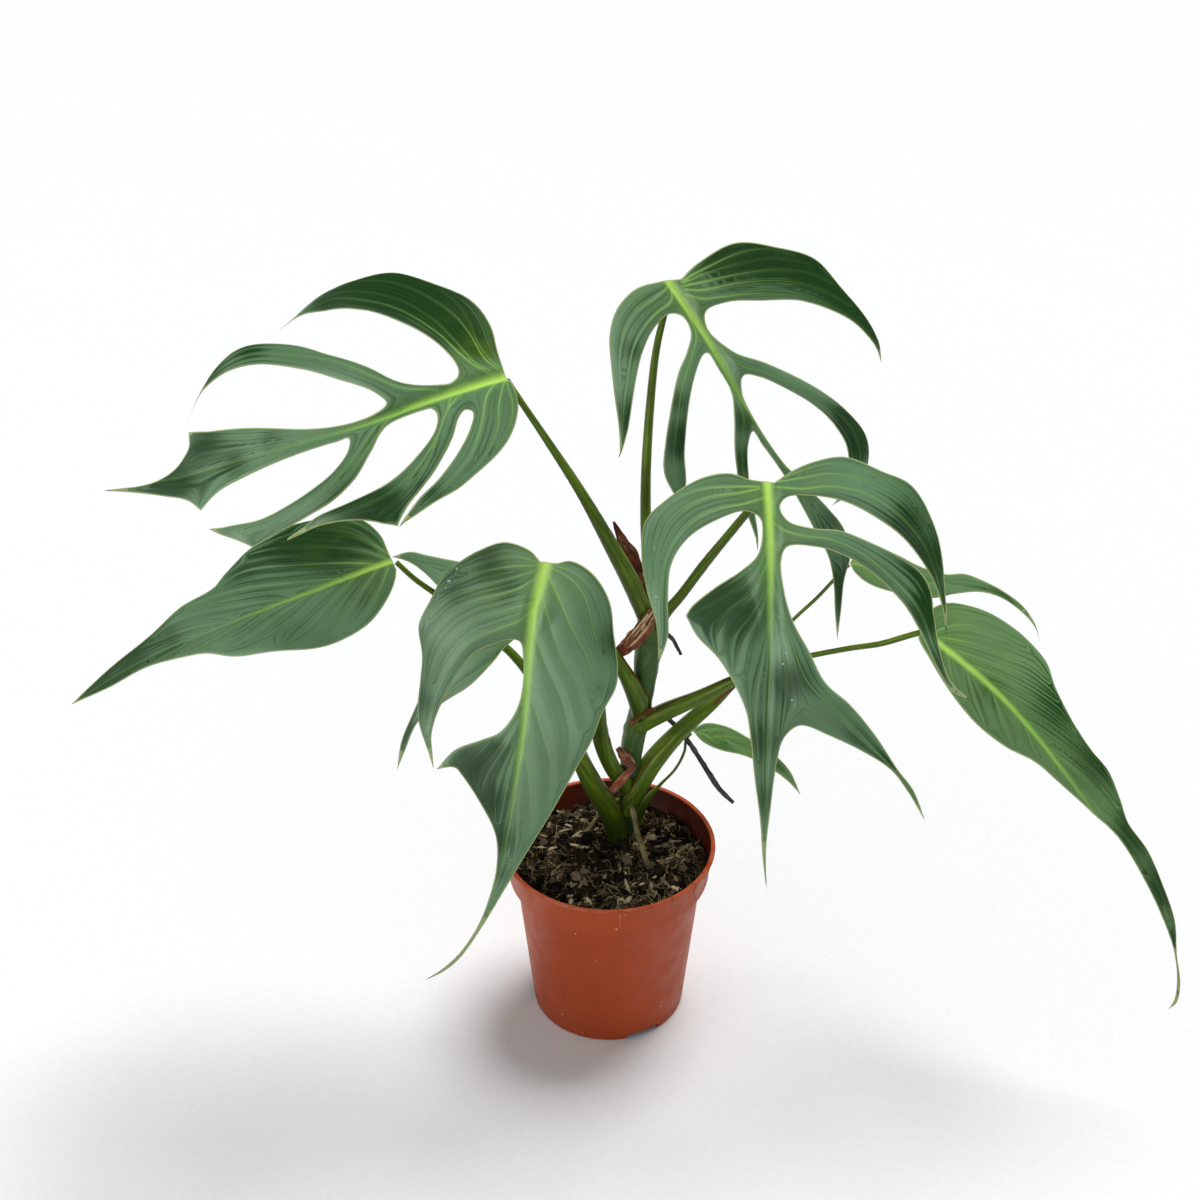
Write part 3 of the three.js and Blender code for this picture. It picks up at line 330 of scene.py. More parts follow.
# Veins as (u, v) points from the midrib outwards. The main ones run in the valley of a lobe.
MAIN_VEINS = {
    "upper_left": [
        [(4, 0), (12, -5), (18, -13), (25, -26), (39, -43), (56, -52), (76, -62), (98, -53)],
        [(32, 6), (47, 4), (60, -5), (74, -17), (93, -30), (110, -36), (125, -34), (136, -29), (151, -11)],
        [(51, 14), (62, 20), (75, 34), (90, 47), (112, 54), (135, 55)],
        [(22, 9), (31, 20), (38, 32), (53, 49), (69, 59), (85, 63), (100, 63)],
        [(3, 2), (11, 13), (16, 27), (26, 45), (41, 57), (62, 71)],
    ],
    "back_right": [
        [(1, -1), (5, -7), (6, -16), (9, -26), (15, -36), (26, -47), (40, -60), (53, -69)],
        [(15, -2), (24, -5), (31, -13), (41, -26), (53, -37), (68, -47), (86, -52)],
        [(55, -3), (69, -6), (83, -15), (102, -23), (126, -29)],
        [(6, 3), (11, 8), (15, 17), (21, 31), (33, 52), (47, 68), (64, 79), (80, 83)],
        [(36, 0), (48, 7), (57, 16), (73, 29), (92, 40), (109, 46), (123, 43), (134, 28)],
    ],
    "front_right": [
        [(6, -2), (9, -12), (11, -23), (16, -35), (26, -45), (39, -51), (57, -53), (76, -53)],
        [(43, 1), (69, 8), (93, 17), (109, 32), (126, 48), (145, 66), (162, 76)],
        [(16, 1), (21, 6), (24, 15), (26, 29), (32, 43), (44, 58), (60, 72), (78, 79), (97, 88)],
        [(1, 3), (2, 16), (1, 30), (4, 46), (13, 61), (28, 75), (44, 82), (62, 86)],
    ],
    "front_left": [
        [(19, 1), (26, -4), (32, -12), (42, -24), (58, -31), (76, -34), (93, -32)],
    ],
    "behind_left": [
        [(2, -3), (8, -20), (17, -40), (27, -58), (36, -72)],
    ],
}
SIDE_VEINS = {
    "upper_left": [
        [(0, -3), (5, -10), (8, -20), (10, -36), (14, -51), (20, -62)],
        [(1, -2), (7, -10), (11, -27), (17, -43), (27, -58), (40, -68), (58, -71)],
        [(2, -1), (11, -6), (18, -20), (26, -37), (37, -51), (55, -60), (78, -68)],
        [(79, 18), (100, 14), (123, 9), (148, -1)], [(90, 18), (110, 17), (130, 14), (158, 10)],
        [(96, 18), (120, 22), (140, 26), (153, 34)],
        [(55, 15), (66, 28), (80, 43), (96, 52), (118, 58), (131, 62)],
        [(27, 11), (33, 24), (44, 42), (57, 56), (73, 67)],
        [(1, 4), (6, 16), (10, 30), (21, 47), (37, 58)], [(0, 4), (0, 16), (5, 30), (16, 45)],
    ],
    "back_right": [
        [(-1, -2), (0, -11), (1, -22), (5, -32), (13, -41), (26, -51)], [(110, 3), (130, 9), (150, 16)],
        [(120, 4), (150, 6), (175, 9)], [(0, 5), (1, 20), (3, 38), (9, 55), (22, 71)],
        [(1, 5), (3, 18), (7, 35), (16, 58), (31, 78)],
        [(2, 4), (6, 16), (11, 32), (20, 53), (34, 74), (45, 83)],
        [(4, 4), (8, 11), (15, 31), (27, 54), (42, 72), (58, 83)],
    ],
    "front_right": [
        [(1, -4), (1, -16), (2, -31), (6, -43), (16, -54), (29, -58), (45, -58)],
        [(2, -4), (4, -15), (6, -29), (11, -40), (20, -49), (34, -54), (55, -56)],
        [(26, -1), (40, -6), (49, -16), (56, -28), (62, -39)],
        [(36, -1), (51, -9), (60, -21), (70, -27), (80, -26)], [(48, -1), (62, -7), (74, -15), (89, -18)],
        [(64, -1), (83, -5), (103, -9), (132, -7)], [(55, 0), (74, 5), (98, 7), (120, 5)],
        [(-1, 4), (-3, 16), (-5, 33), (-1, 50), (8, 66), (23, 77), (43, 84)],
        [(-1, 3), (-6, 15), (-10, 33), (-5, 53), (4, 69), (18, 79)],
    ],
    "front_left": [
        [(16, 1), (24, -12), (34, -26), (49, -35), (69, -38), (90, -35)],
        [(3, -1), (12, -8), (18, -17), (26, -30), (35, -39), (50, -45), (72, -42)],
        [(1, -1), (10, -15), (19, -30), (27, -41), (38, -48)],
        [(0, -2), (5, -17), (12, -30), (20, -40), (26, -47)], [(-1, -3), (0, -16), (7, -29), (14, -39)],
        [(-2, 5), (-1, 15), (5, 26), (19, 36), (34, 43)],
        [(0, 2), (1, 11), (7, 22), (22, 32), (38, 42), (53, 45)],
        [(4, 3), (13, 12), (24, 22), (36, 34), (51, 43)],
        [(14, 4), (25, 11), (37, 20), (48, 32), (63, 42)],
        [(33, 6), (44, 15), (56, 26), (73, 36), (93, 40)], [(57, 9), (72, 20), (90, 31), (114, 37)],
        [(82, 14), (101, 23), (127, 31)], [(96, 16), (118, 21), (145, 26)],
        [(80, 13), (102, 12), (128, 14)], [(68, 10), (88, 5), (106, -1), (118, 2)],
        [(60, 9), (77, 4), (91, -4), (103, -13)],
    ],
    "left": [
        [(0, -2), (6, -12), (15, -25), (33, -38)], [(2, -1), (12, -10), (30, -20), (52, -28), (67, -32)],
        [(8, 0), (26, -7), (50, -15), (75, -23), (88, -21)], [(29, 2), (54, -5), (84, -14), (107, -16)],
        [(56, 4), (84, -4), (113, -11), (130, -9)], [(86, 4), (110, -3), (137, -7)],
        [(106, 3), (123, 5), (145, 4)], [(67, 4), (90, 8), (110, 10), (122, 8)],
        [(41, 4), (64, 11), (88, 18), (103, 16)], [(19, 2), (35, 12), (53, 24), (71, 31)],
        [(9, 2), (23, 15), (39, 29), (51, 36)], [(4, 3), (13, 16), (24, 28), (35, 34)],
    ],
    "behind_left": [
        [(6, 0), (17, -20), (30, -33), (46, -24), (66, -19), (86, -14)],
        [(27, 2), (51, -8), (74, -10), (94, -8)], [(1, -4), (5, -18), (13, -34), (22, -50)],
        [(20, 2), (40, -8), (60, -13), (84, -12)],
    ],
    "far_right": [
        [(3, 2), (8, 18), (22, 34), (38, 44)], [(4, 1), (15, 12), (33, 27), (48, 37), (60, 38)],
        [(13, 3), (31, 15), (51, 28), (70, 34)], [(25, 5), (44, 16), (67, 26), (88, 31)],
        [(41, 7), (62, 17), (87, 26), (108, 31)], [(62, 8), (83, 16), (112, 25), (134, 27)],
        [(84, 9), (110, 17), (142, 22), (165, 26)], [(112, 10), (143, 18), (179, 23), (204, 21)],
        [(151, 13), (186, 19), (214, 16)], [(5, 0), (14, -4), (24, -8)], [(15, 2), (25, -4), (39, -9)],
        [(26, 4), (41, -3), (57, -8)], [(43, 6), (60, 0), (74, -4)], [(65, 8), (83, 3), (96, 3)],
        [(88, 9), (104, 7), (118, 8)], [(119, 10), (141, 13), (160, 16)],
    ],
    "small_right": [
        [(6, 0), (18, 6), (34, 5)], [(22, -1), (38, 3), (54, 9)], [(42, -1), (60, 8), (78, 13)],
        [(8, -1), (20, -8), (34, -12)], [(24, -2), (40, -8), (50, -6)], [(44, 0), (60, 2), (74, 8)],
    ],
    "small_low": [
        [(3, 1), (12, 7), (26, 9)], [(12, 2), (26, 8), (42, 9)], [(6, 1), (18, -2), (30, 0)],
        [(18, 3), (32, 2), (44, 2)],
    ],
}
# Painted shade: places where a blade's green is painted deeper: u, v, radius in millimetres, and how much
PAINTED_SHADES = {
    "upper_left": [
        (55, -61, 13, 0.95), (38, -62, 14, 1), (25, -50, 14, 1), (16, -30, 11, 0.95), (9, -16, 7, 0.6),
        (73, -60, 8, 0.7), (138, -33, 8, 0.7), (115, -40, 7, 0.5), (146, 3, 9, 0.7), (167, 16, 11, 0.95),
        (133, 18, 7, 0.6), (70, 63, 10, 0.7), (86, 63, 8, 0.6), (48, 58, 6, 0.5), (114, 13, 6, 0.45),
    ],
    "back_right": [
        (3, 31, 10, 0.95), (12, 53, 12, 1), (30, 73, 14, 1), (53, 80, 11, 0.9), (73, 81, 10, 0.9),
        (42, -57, 9, 0.7), (15, -37, 5, 0.45), (62, -42, 8, 0.85), (45, -33, 5, 0.6), (100, 47, 10, 0.85),
        (116, 48, 10, 0.9), (185, 6, 16, 0.8), (71, -7, 6, 0.6), (89, -16, 6, 0.7), (144, 14, 8, 0.4),
    ],
    "front_right": [
        (50, -27, 11, 0.8), (62, -15, 10, 0.6), (93, 9, 10, 0.75), (122, -5, 9, 0.6), (59, -34, 7, 0.7),
        (18, 67, 9, 0.6), (37, 77, 9, 0.85), (61, 79, 9, 0.9), (126, 39, 7, 0.4), (85, 87, 7, 0.6),
        (153, -2, 9, 0.5), (137, 56, 8, 0.5),
    ],
    "front_left": [
        (103, -6, 10, 0.95), (119, 6, 9, 0.9), (91, 3, 6, 0.6), (137, 17, 8, 0.8), (156, 20, 6, 0.6),
        (23, -39, 6, 0.45), (25, 42, 7, 0.5), (81, -36, 6, 0.5), (7, -26, 8, 0.7), (14, -14, 6, 0.4),
        (48, 44, 5, 0.3),
    ],
    "left": [
        (169, -1, 15, 0.95), (143, -6, 11, 0.8), (26, -24, 18, 0.75), (46, -28, 12, 0.6),
        (75, -25, 9, 0.35), (121, -3, 8, 0.5), (25, 19, 7, 0.25),
    ],
    "behind_left": [(82, -11, 9, 0.5), (102, -9, 8, 0.7)],
    "far_right": [
        (72, 32, 13, 0.5), (108, 33, 14, 0.6), (148, 26, 12, 0.7), (183, 23, 12, 0.8), (219, 12, 13, 0.9),
        (43, 5, 7, 0.3),
    ],
    "small_right": [(81, 9, 7, 0.4)],
    "small_low": [(50, 10, 7, 0.5), (17, -2, 6, 0.3)],
}
# Blades of a lighter, yellower green than the others, from 0 to 1
FRESH_LEAVES = {"far_right": 0.6, "small_right": 0.4, "small_low": 0.5}

# Blades: spacing of their points, and how far these keep from the margin, the veins and each other
CURVE_STEP = 0.5
EDGE_STEP = 1.0
VEIN_STEP = 0.9
VEIN_SIDE = 0.8
MIDRIB_START = 0.5
MIDRIB_END = 3
RIB_ROWS = (0.55, 1.0, 1.6)
FILL_STEP = 1.35
MARGIN_ROW = 0.45
ROW_INSIDE = 0.8
LINE_INSIDE = 0.6
CLEAR_IN_MARGIN_ROW = 0.2
CLEAR_OF_MARGIN = 1.1
CLEAR_OF_LINE = 0.5
CLEAR_IN_FILL = 0.85
SAME_POINT = 1e-5
# How thick they are: the blade, its margin, and the midrib and veins that stand out underneath
BLADE_THICKNESS = 0.55
MARGIN_THICKNESS = 0.2
MARGIN_WIDTH = 1.5
RIB_SHARE = 0.0075
RIB_TIP_WIDTH = 0.35
RIB_TAPER = 1.7
KEEL_WIDTH = 0.62
KEEL_START = (-2, 4)
RIDGE_HEIGHT = 0.28
RIDGE_WIDTH = 0.8
# How their surface rises and falls
WAVE_REACH = 40
WAVE_MOST = 1.5
WAVE_SIDE_SHIFT = 2.2
VALLEY_SLOPE = -0.3
VALLEY_REACH = 12
VEIN_DEPTH = 0.3
VEIN_WIDTH = 1.1
PILLOW_HEIGHT = 0.55
PILLOW_WIDTH = 5
PLEAT_HEIGHT = 0.035
PLEATS = 8
RIB_DEPTH = 0.5
RIB_TIP_REACH = 60
CALM_MARGIN = 4
SHOULDER = (0.5, 6)
# How their colours spread
SHADE_SPREAD = 1.3
RIB_FADE = 0.86
RIB_FADE_START = 0.35
VEIN_FADE = 0.6
FAINTEST_VEIN = 0.3
VEIN_FADE_CURVE = 1.5
LEAF_HEART = 8
FAN_FLOOR = 1e-3


def unit(v):
    v = np.asarray(v, float)
    return v / np.linalg.norm(v, axis=-1, keepdims=True)


def smooth(value, low, high):
    """0 below low, 1 above high and a smooth rise between them"""
    t = np.clip((np.asarray(value, float) - low) / (high - low), 0, 1)
    return t * t * (3 - 2 * t)


def centripetal(points, step):
    """Points about `step` apart on the smooth curve through the given ones"""
    points = np.array(points, float)
    if len(points) == 2:
        count = max(1, math.ceil(np.linalg.norm(points[1] - points[0]) / step))
        return points[0] + (points[1] - points[0]) * np.linspace(0, 1, count + 1)[:, None]
    ends = np.vstack([2 * points[0] - points[1], points, 2 * points[-1] - points[-2]])
    rows = []
    for p0, p1, p2, p3 in zip(ends, ends[1:], ends[2:], ends[3:]):
        d0, d1, d2 = (math.sqrt(np.linalg.norm(b - a)) for a, b in ((p0, p1), (p1, p2), (p2, p3)))
        m1 = d1 * ((p1 - p0) / d0 - (p2 - p0) / (d0 + d1) + (p2 - p1) / d1)
        m2 = d1 * ((p2 - p1) / d1 - (p3 - p1) / (d1 + d2) + (p3 - p2) / d2)
        count = max(2, math.ceil(np.linalg.norm(p2 - p1) / step))
        t = np.linspace(0, 1, count, endpoint=False)[:, None]
        rows.append(
            p1 * (2 * t**3 - 3 * t**2 + 1) + m1 * (t**3 - 2 * t**2 + t)
            + p2 * (3 * t**2 - 2 * t**3) + m2 * (t**3 - t**2)
        )
    rows.append(points[-1:])
    return np.vstack(rows)


def even(line, step):
    """The line's points moved to equal distances, about `step` apart"""
    run = np.concatenate([[0], np.cumsum(np.linalg.norm(np.diff(line, axis=0), axis=1))])
    count = max(2, math.ceil(run[-1] / step))
    at = np.linspace(0, run[-1], count + 1)
    return np.stack([np.interp(at, run, line[:, k]) for k in range(line.shape[1])], axis=1)


def through(points, x):
    """A smooth curve through (x, y) points with rising x, read at x"""
    px, py = np.array(points, float).T
    rise = np.diff(py) / np.diff(px)
    slope = np.concatenate([rise[:1], (py[2:] - py[:-2]) / (px[2:] - px[:-2]), rise[-1:]])
    x = np.asarray(x, float)
    i = np.clip(np.searchsorted(px, x) - 1, 0, len(px) - 2)
    h = px[i + 1] - px[i]
    t = (x - px[i]) / h
    inside = (2 * t**3 - 3 * t**2 + 1) * py[i] + (3 * t**2 - 2 * t**3) * py[i + 1]
    inside += h * ((t**3 - 2 * t**2 + t) * slope[i] + (t**3 - t**2) * slope[i + 1])
    before = py[0] + slope[0] * (x - px[0])
    after = py[-1] + slope[-1] * (x - px[-1])
    return np.where(x < px[0], before, np.where(x > px[-1], after, inside))


def distance(points, line):
    """How far each point is from a line, and how far along the line its nearest place is, from 0 to 1"""
    tree = kdtree.KDTree(len(line))
    for i, spot in enumerate(line):
        tree.insert((*spot, 0), i)
    tree.balance()
    nearest = np.array([tree.find((*p, 0))[1] for p in points], int)
    best = np.full(len(points), 1e9)
    place = np.zeros(len(points))
    for first in (np.maximum(nearest - 1, 0), np.minimum(nearest, len(line) - 2)):
        a, arm = line[first], line[first + 1] - line[first]
        t = np.clip(((points - a) * arm).sum(1) / np.maximum((arm * arm).sum(1), 1e-9), 0, 1)
        gap = np.linalg.norm(points - a - t[:, None] * arm, axis=1)
        place = np.where(gap < best, (first + t) / (len(line) - 1), place)
        best = np.minimum(best, gap)
    return best, place


def within(points, loop):
    """Which points lie inside a closed outline"""
    inside = np.zeros(len(points), bool)
    x, y = points.T
    for (x0, y0), (x1, y1) in zip(loop, np.roll(loop, -1, axis=0)):
        if y0 != y1:
            inside ^= ((y0 > y) != (y1 > y)) & (x < (x1 - x0) * (y - y0) / (y1 - y0) + x0)
    return inside


def thinned(points, gaps):
    """The points in their order, without those that lie nearer than their gap to one kept before"""
    cell = max(gaps)
    cells, kept = {}, []
    for (x, y), gap in zip(points.tolist(), gaps):
        column, row = int(x // cell), int(y // cell)
        near = [p for i in (-1, 0, 1) for j in (-1, 0, 1) for p in cells.get((column + i, row + j), ())]
        if all((x - p[0]) ** 2 + (y - p[1]) ** 2 >= gap * gap for p in near):
            cells.setdefault((column, row), []).append((x, y))
            kept.append((x, y))
    return np.array(kept)


def linked(name, points, faces):
    """An object in the scene from points in millimetres"""
    mesh = bpy.data.meshes.new(name)
    mesh.from_pydata((np.asarray(points, float) * METRES).tolist(), [], [list(f) for f in faces])
    made = bpy.data.objects.new(name, mesh)
    bpy.context.scene.collection.objects.link(made)
    return made


def make(name, points, faces, material, values=None, node=None, soft=True):
    """A piece of the plant or its pot, with named numbers for each point or each face"""
    piece = linked(name, points, faces)
    mesh = piece.data
    for key, numbers in (values or {}).items():
        numbers = np.asarray(numbers, np.float32)
        domain = "POINT" if len(numbers) == len(mesh.vertices) else "FACE"
        mesh.attributes.new(key, "FLOAT", domain).data.foreach_set("value", numbers)
    mesh.polygons.foreach_set("use_smooth", [soft] * len(mesh.polygons))
    mesh.materials.append(material)
    mesh.update()
    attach(piece, "root")
    if node:
        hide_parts(node)
    return piece


# Shading
LEAF_TINT = (0.8, 1, 0.78)
# Greens of the blades' upper side; the deep one is painted shade
LEAF_GREENS = {
    "dull": (89, 122, 87), "light": (103, 138, 103), "streak": (60, 96, 54), "fleck": (94, 134, 82),
    "fresh": (104, 140, 66), "deep": (10, 50, 2), "warm": (110, 140, 32), "pleat": (120, 160, 104),
    "beside vein": (116, 158, 84), "vein": (146, 190, 100), "vein start": (158, 204, 96),
    "beside rib": (96, 142, 60), "rib": (186, 228, 104), "rib tip": (150, 198, 88), "margin": (178, 190, 124),
}
UNDERSIDE_GREENS = {
    "dull": (86, 118, 62), "light": (108, 138, 78), "pleat": (134, 160, 98), "vein": (160, 182, 112),
    "rib": (150, 178, 84),
}
# Roughness of a blade's upper side, its underside, its flecks and its patches of painted shade
LEAF_ROUGHNESS = {"upper": 0.44, "under": 0.62, "fleck": 0.55, "deep": 0.7}
# Streaks in a blade: how many between two veins, how many in a metre, and how far they shift the painted
# shade
STREAKS_IN_FAN = 7.0
STREAKS_IN_METRE = 14.0
STREAK_SHIFT = 1.7

STALK_TINT = (0.85, 1, 0.5)
STALK_SPECK = (170, 180, 110)
# Dark, light and patch colours of the stalks, and the petioles' dry wing colour; the dark one is also painted
# shade underneath
PETIOLE_GREENS = ((28, 42, 4), (102, 132, 26), (64, 88, 10), (140, 94, 50))
STEM_GREENS = ((52, 80, 38), (88, 116, 66), (66, 94, 50))
# Dark, light and pale colours of dry tissue, how much of it is pale, and the depth of its fibres
DRY = {
    "root_grey": ((44, 44, 42), (76, 76, 70), (112, 106, 92), 0.0, 0.25),
    "root_olive": ((92, 80, 38), (142, 132, 78), (170, 154, 106), 0.02, 0.25),
    "husk": ((92, 36, 16), (150, 70, 36), (226, 186, 138), 0.1, 0.3),
}
# Dark and light colours of small bits
CRUMBS = {
    "straw": ((156, 104, 62), (250, 228, 188)),
    "peat": ((8, 6, 4), (62, 50, 34)),
    "fibre": ((84, 70, 46), (198, 180, 138)),
    "splash": ((196, 112, 78), (232, 184, 154)),
    "speck": ((150, 178, 150), (222, 232, 220)),
    "margin": ((58, 34, 16), (168, 118, 62)),
    "bark": ((70, 58, 44), (190, 172, 138)),
}
POT_COLOURS = {
    "dull": (168, 67, 25), "bright": (177, 73, 30), "dust": (186, 104, 64), "speck": (214, 158, 122),
    "inner side": (116, 40, 18), "earth": (46, 20, 10), "rim wear and highlight": (186, 104, 74),
}
POT_ROUGHNESS = (0.4, 0.56)
# Heights between which the rim's lip gets a lighter band, partly wear and partly painted highlight
WEAR_AND_HIGHLIGHT_FROM = 108.2
WEAR_AND_HIGHLIGHT_TO = 109.8
FLOOR_GREYS = ((237, 238, 239), (240, 241, 242))
BACKDROP_WHITE = (253, 254, 255)


def srgb(red, green, blue):
    """The colour that shows as these sRGB values"""
    def linear(c):
        c /= 255
        return c / 12.92 if c <= 0.04045 else ((c + 0.055) / 1.055) ** 2.4
    return (linear(red), linear(green), linear(blue), 1)


class Shader:
    """One procedural material: a Principled surface and the nodes that feed it"""

    def __init__(self, name, roughness=0.5, specular=0.5, tint=(1, 1, 1)):
        self.material = bpy.data.materials.new(name)
        self.material.use_nodes = True
        self.tree = self.material.node_tree
        self.surface = self.tree.nodes["Principled BSDF"]
        self.settle("Roughness", roughness)
        self.settle("Specular IOR Level", specular)
        self.settle("Specular Tint", (*tint, 1))
        self.place = self.node("TexCoord").outputs["Object"]

    def settle(self, name, value):
        """Gives one of the surface's own sockets a number, a colour or another node's socket"""
        self.feed(self.surface.inputs[name], value)

    def node(self, kind, feeds=(), **settings):
        made = self.tree.nodes.new("ShaderNode" + kind)
        for key, value in settings.items():
            setattr(made, key, value)
        for key, value in dict(feeds).items():
            self.feed(made.inputs[key], value)
        return made

    def feed(self, socket, value):
        if isinstance(value, bpy.types.NodeSocket):
            self.tree.links.new(value, socket)
        else:
            socket.default_value = value

    def value(self, name):
        return self.node("Attribute", attribute_name=name).outputs["Fac"]

    def math(self, operation, a, b=0.0):
        return self.node("Math", {0: a, 1: b}, operation=operation).outputs[0]

    def times(self, a, b):
        return self.math("MULTIPLY", a, b)

    def mask(self, value, low, high):
        """0 at low and 1 at high, whichever is larger"""
        feeds = {"Value": value, "From Min": low, "From Max": high}
        return self.node("MapRange", feeds, interpolation_type="SMOOTHSTEP").outputs["Result"]

    def mix(self, share, a, b):
        """Two colours mixed, each a socket, sRGB values or one level of grey"""
        feeds = {0: share}
        for key, colour in ((6, a), (7, b)):
            if isinstance(colour, tuple):
                colour = srgb(*colour)
            elif isinstance(colour, float):
                colour = (colour, colour, colour, 1)
            feeds[key] = colour
        return self.node("Mix", feeds, data_type="RGBA").outputs[2]

    def coats(self, colour, *coats):
        """A colour under others, each given as where it shows, its share there and the colour"""
        for where, share, coat in coats:
            colour = self.mix(self.times(where, share), colour, coat)
        return colour

    def vector(self, x, y, z):
        return self.node("CombineXYZ", {0: x, 1: y, 2: z}).outputs[0]

    def axes(self):
        """The place's three coordinates in metres"""
        return self.node("SeparateXYZ", {0: self.place}).outputs

    def noise(self, scale, detail=3.0, place=None, roughness=0.55):
        feeds = {"Vector": place or self.place, "Scale": scale, "Detail": detail, "Roughness": roughness}
        return self.node("TexNoise", feeds).outputs["Fac"]

    def patches(self, scale, detail, low, high):
        """Irregular patches of a size that goes with 1 / scale metres"""
        return self.mask(self.noise(scale, detail), low, high)

    def bump(self, height, depth, normal=None):
        """Raises the surface by up to `depth` millimetres"""
        feeds = {"Height": height, "Distance": depth * METRES, "Strength": 1.0}
        if normal:
            feeds["Normal"] = normal
        return self.node("Bump", feeds).outputs["Normal"]

    def finish(self, colour, normal=None, roughness=None):
        for name, value in (("Base Color", colour), ("Normal", normal), ("Roughness", roughness)):
            if value:
                self.settle(name, value)
        return self.material


def leaf_material():
    """Satin green with pale ribs, margins and patches of painted shade above, dull olive green underneath"""
    s = Shader("leaf", specular=0.32, tint=LEAF_TINT)
    rib, vein, edge, near = s.value("rib"), s.value("vein"), s.value("edge"), s.value("near")
    fan, along, under, pale = s.value("fan"), s.value("along"), s.value("under"), s.value("pale")
    painted_shade = s.value("painted_shade")
    cloud = s.patches(22, 3, 0.35, 0.68)
    fleck = s.patches(160, 4, 0.4, 0.7)
    pleats = s.mask(s.math("PINGPONG", s.times(fan, PLEATS), 1.0), 0.62, 1.0)
    x, y, _ = s.axes()
    grain = s.vector(s.times(fan, STREAKS_IN_FAN), s.times(x, STREAKS_IN_METRE), s.times(y, STREAKS_IN_METRE))
    streaks = s.noise(1.0, 3, grain, 0.5)
    shift = s.times(s.math("SUBTRACT", streaks, 0.5), STREAK_SHIFT)
    beside_vein = s.times(s.mask(vein, 0.6, 0.15), s.mask(pale, -0.4, 1.2))
    vein_start = s.times(s.mask(vein, 0.85, 0.2), s.mask(near, 45.0, 5.0))

    green = LEAF_GREENS
    midrib = s.mix(s.mask(along, 0.0, 0.3), green["rib"], green["rib tip"])
    upper = s.coats(
        s.mix(cloud, green["dull"], green["light"]),
        (s.mask(streaks, 0.45, 0.7), 0.4, green["streak"]),
        (fleck, 0.2, green["fleck"]),
        (s.value("fresh"), 0.6, green["fresh"]),
        # painted shade: the deep green over the shade patches, its edges broken up by the streaks
        (s.mask(s.math("ADD", painted_shade, shift), -0.05, 0.68), 0.97, green["deep"]),
        (s.times(s.mask(near, 50.0, 4.0), s.patches(45, 2, 0.3, 0.75)), 0.4, green["warm"]),
        (pleats, 0.05, green["pleat"]),
        (s.mask(vein, 2.2, 0.3), 0.1, green["beside vein"]),
        (beside_vein, 0.42, green["vein"]),
        (vein_start, 0.35, green["vein start"]),
        (s.times(s.mask(rib, 4.2, 0.8), pale), 0.35, green["beside rib"]),
        (s.times(s.mask(rib, 1.7, 0.1), pale), 1.0, midrib),
        (s.mask(edge, 0.85, 0.2), 0.85, green["margin"]),
    )
    green = UNDERSIDE_GREENS
    lower = s.coats(
        s.mix(cloud, green["dull"], green["light"]),
        (pleats, 0.3, green["pleat"]),
        (s.mask(vein, 0.9, 0.3), 0.7, green["vein"]),
        (s.mask(rib, 1.2, 0.7), 1.0, green["rib"]),
    )
    rough = s.coats(
        s.mix(under, LEAF_ROUGHNESS["upper"], LEAF_ROUGHNESS["under"]),
        (fleck, 0.25, LEAF_ROUGHNESS["fleck"]),
        (s.mask(painted_shade, 0.25, 0.9), 1.0, LEAF_ROUGHNESS["deep"]),
    )
    normal = s.bump(s.math("ADD", pleats, streaks), 0.014)
    normal = s.bump(s.noise(420, 4), 0.05, normal)
    return s.finish(s.mix(under, upper, lower), normal, rough)


def stalk_material(name, dark, light, patch, wing=None):
    """A fresh green stalk with long streaks, painted shade on its underside and, on its sheath, dry margins
    """
    s = Shader(name, roughness=0.38, specular=0.24, tint=STALK_TINT)
    turn, along = s.value("turn"), s.value("along")
    grain = s.vector(s.times(turn, 2.4), s.times(along, 0.012), 0.0)
    streaks = s.mask(s.noise(3.0, 3, grain), 0.3, 0.7)
    colour = s.coats(
        s.mix(s.times(streaks, 0.75), light, dark),
        (s.patches(26, 2, 0.35, 0.7), 0.4, patch),
        # painted shade: the dark colour laid over the stalk's underside, away from its top
        (s.mask(turn, 0.75, 0.1), 0.75, dark),
    )
    if wing:
        colour = s.mix(s.mask(s.value("wing"), 0.7, 0.95), colour, wing)
    colour = s.coats(colour, (s.patches(700, 2, 0.66, 0.74), 0.2, STALK_SPECK))
    return s.finish(colour, s.bump(s.noise(500, 3), 0.06, s.bump(streaks, 0.12)))


def dry_material(name, dark, light, straw, share, depth):
    """Dead brown tissue with fibres along it"""
    s = Shader(name, roughness=0.72, specular=0.3)
    grain = s.vector(s.times(s.value("turn"), 6.0), s.times(s.value("along"), 0.05), 0.0)
    fibres = s.noise(2.4, 5, grain)
    pale = s.times(s.mask(fibres, 0.62 - share, 0.72 - share), s.patches(90, 2, 0.4, 0.6))
    colour = s.mix(pale, s.mix(s.patches(140, 4, 0.35, 0.7), dark, light), straw)
    return s.finish(colour, s.bump(s.noise(700, 3), 0.1, s.bump(fibres, depth)))


def crumb_material(name, dark, light):
    """Bits of one kind that differ in tone, `tone` being 0 to 1 for each"""
    s = Shader(name, roughness=0.95, specular=0.06)
    colour = s.coats(s.mix(s.value("tone"), dark, light), (s.patches(260, 4, 0.42, 0.66), 0.45, dark))
    return s.finish(colour, s.bump(s.noise(900, 4), 0.25))


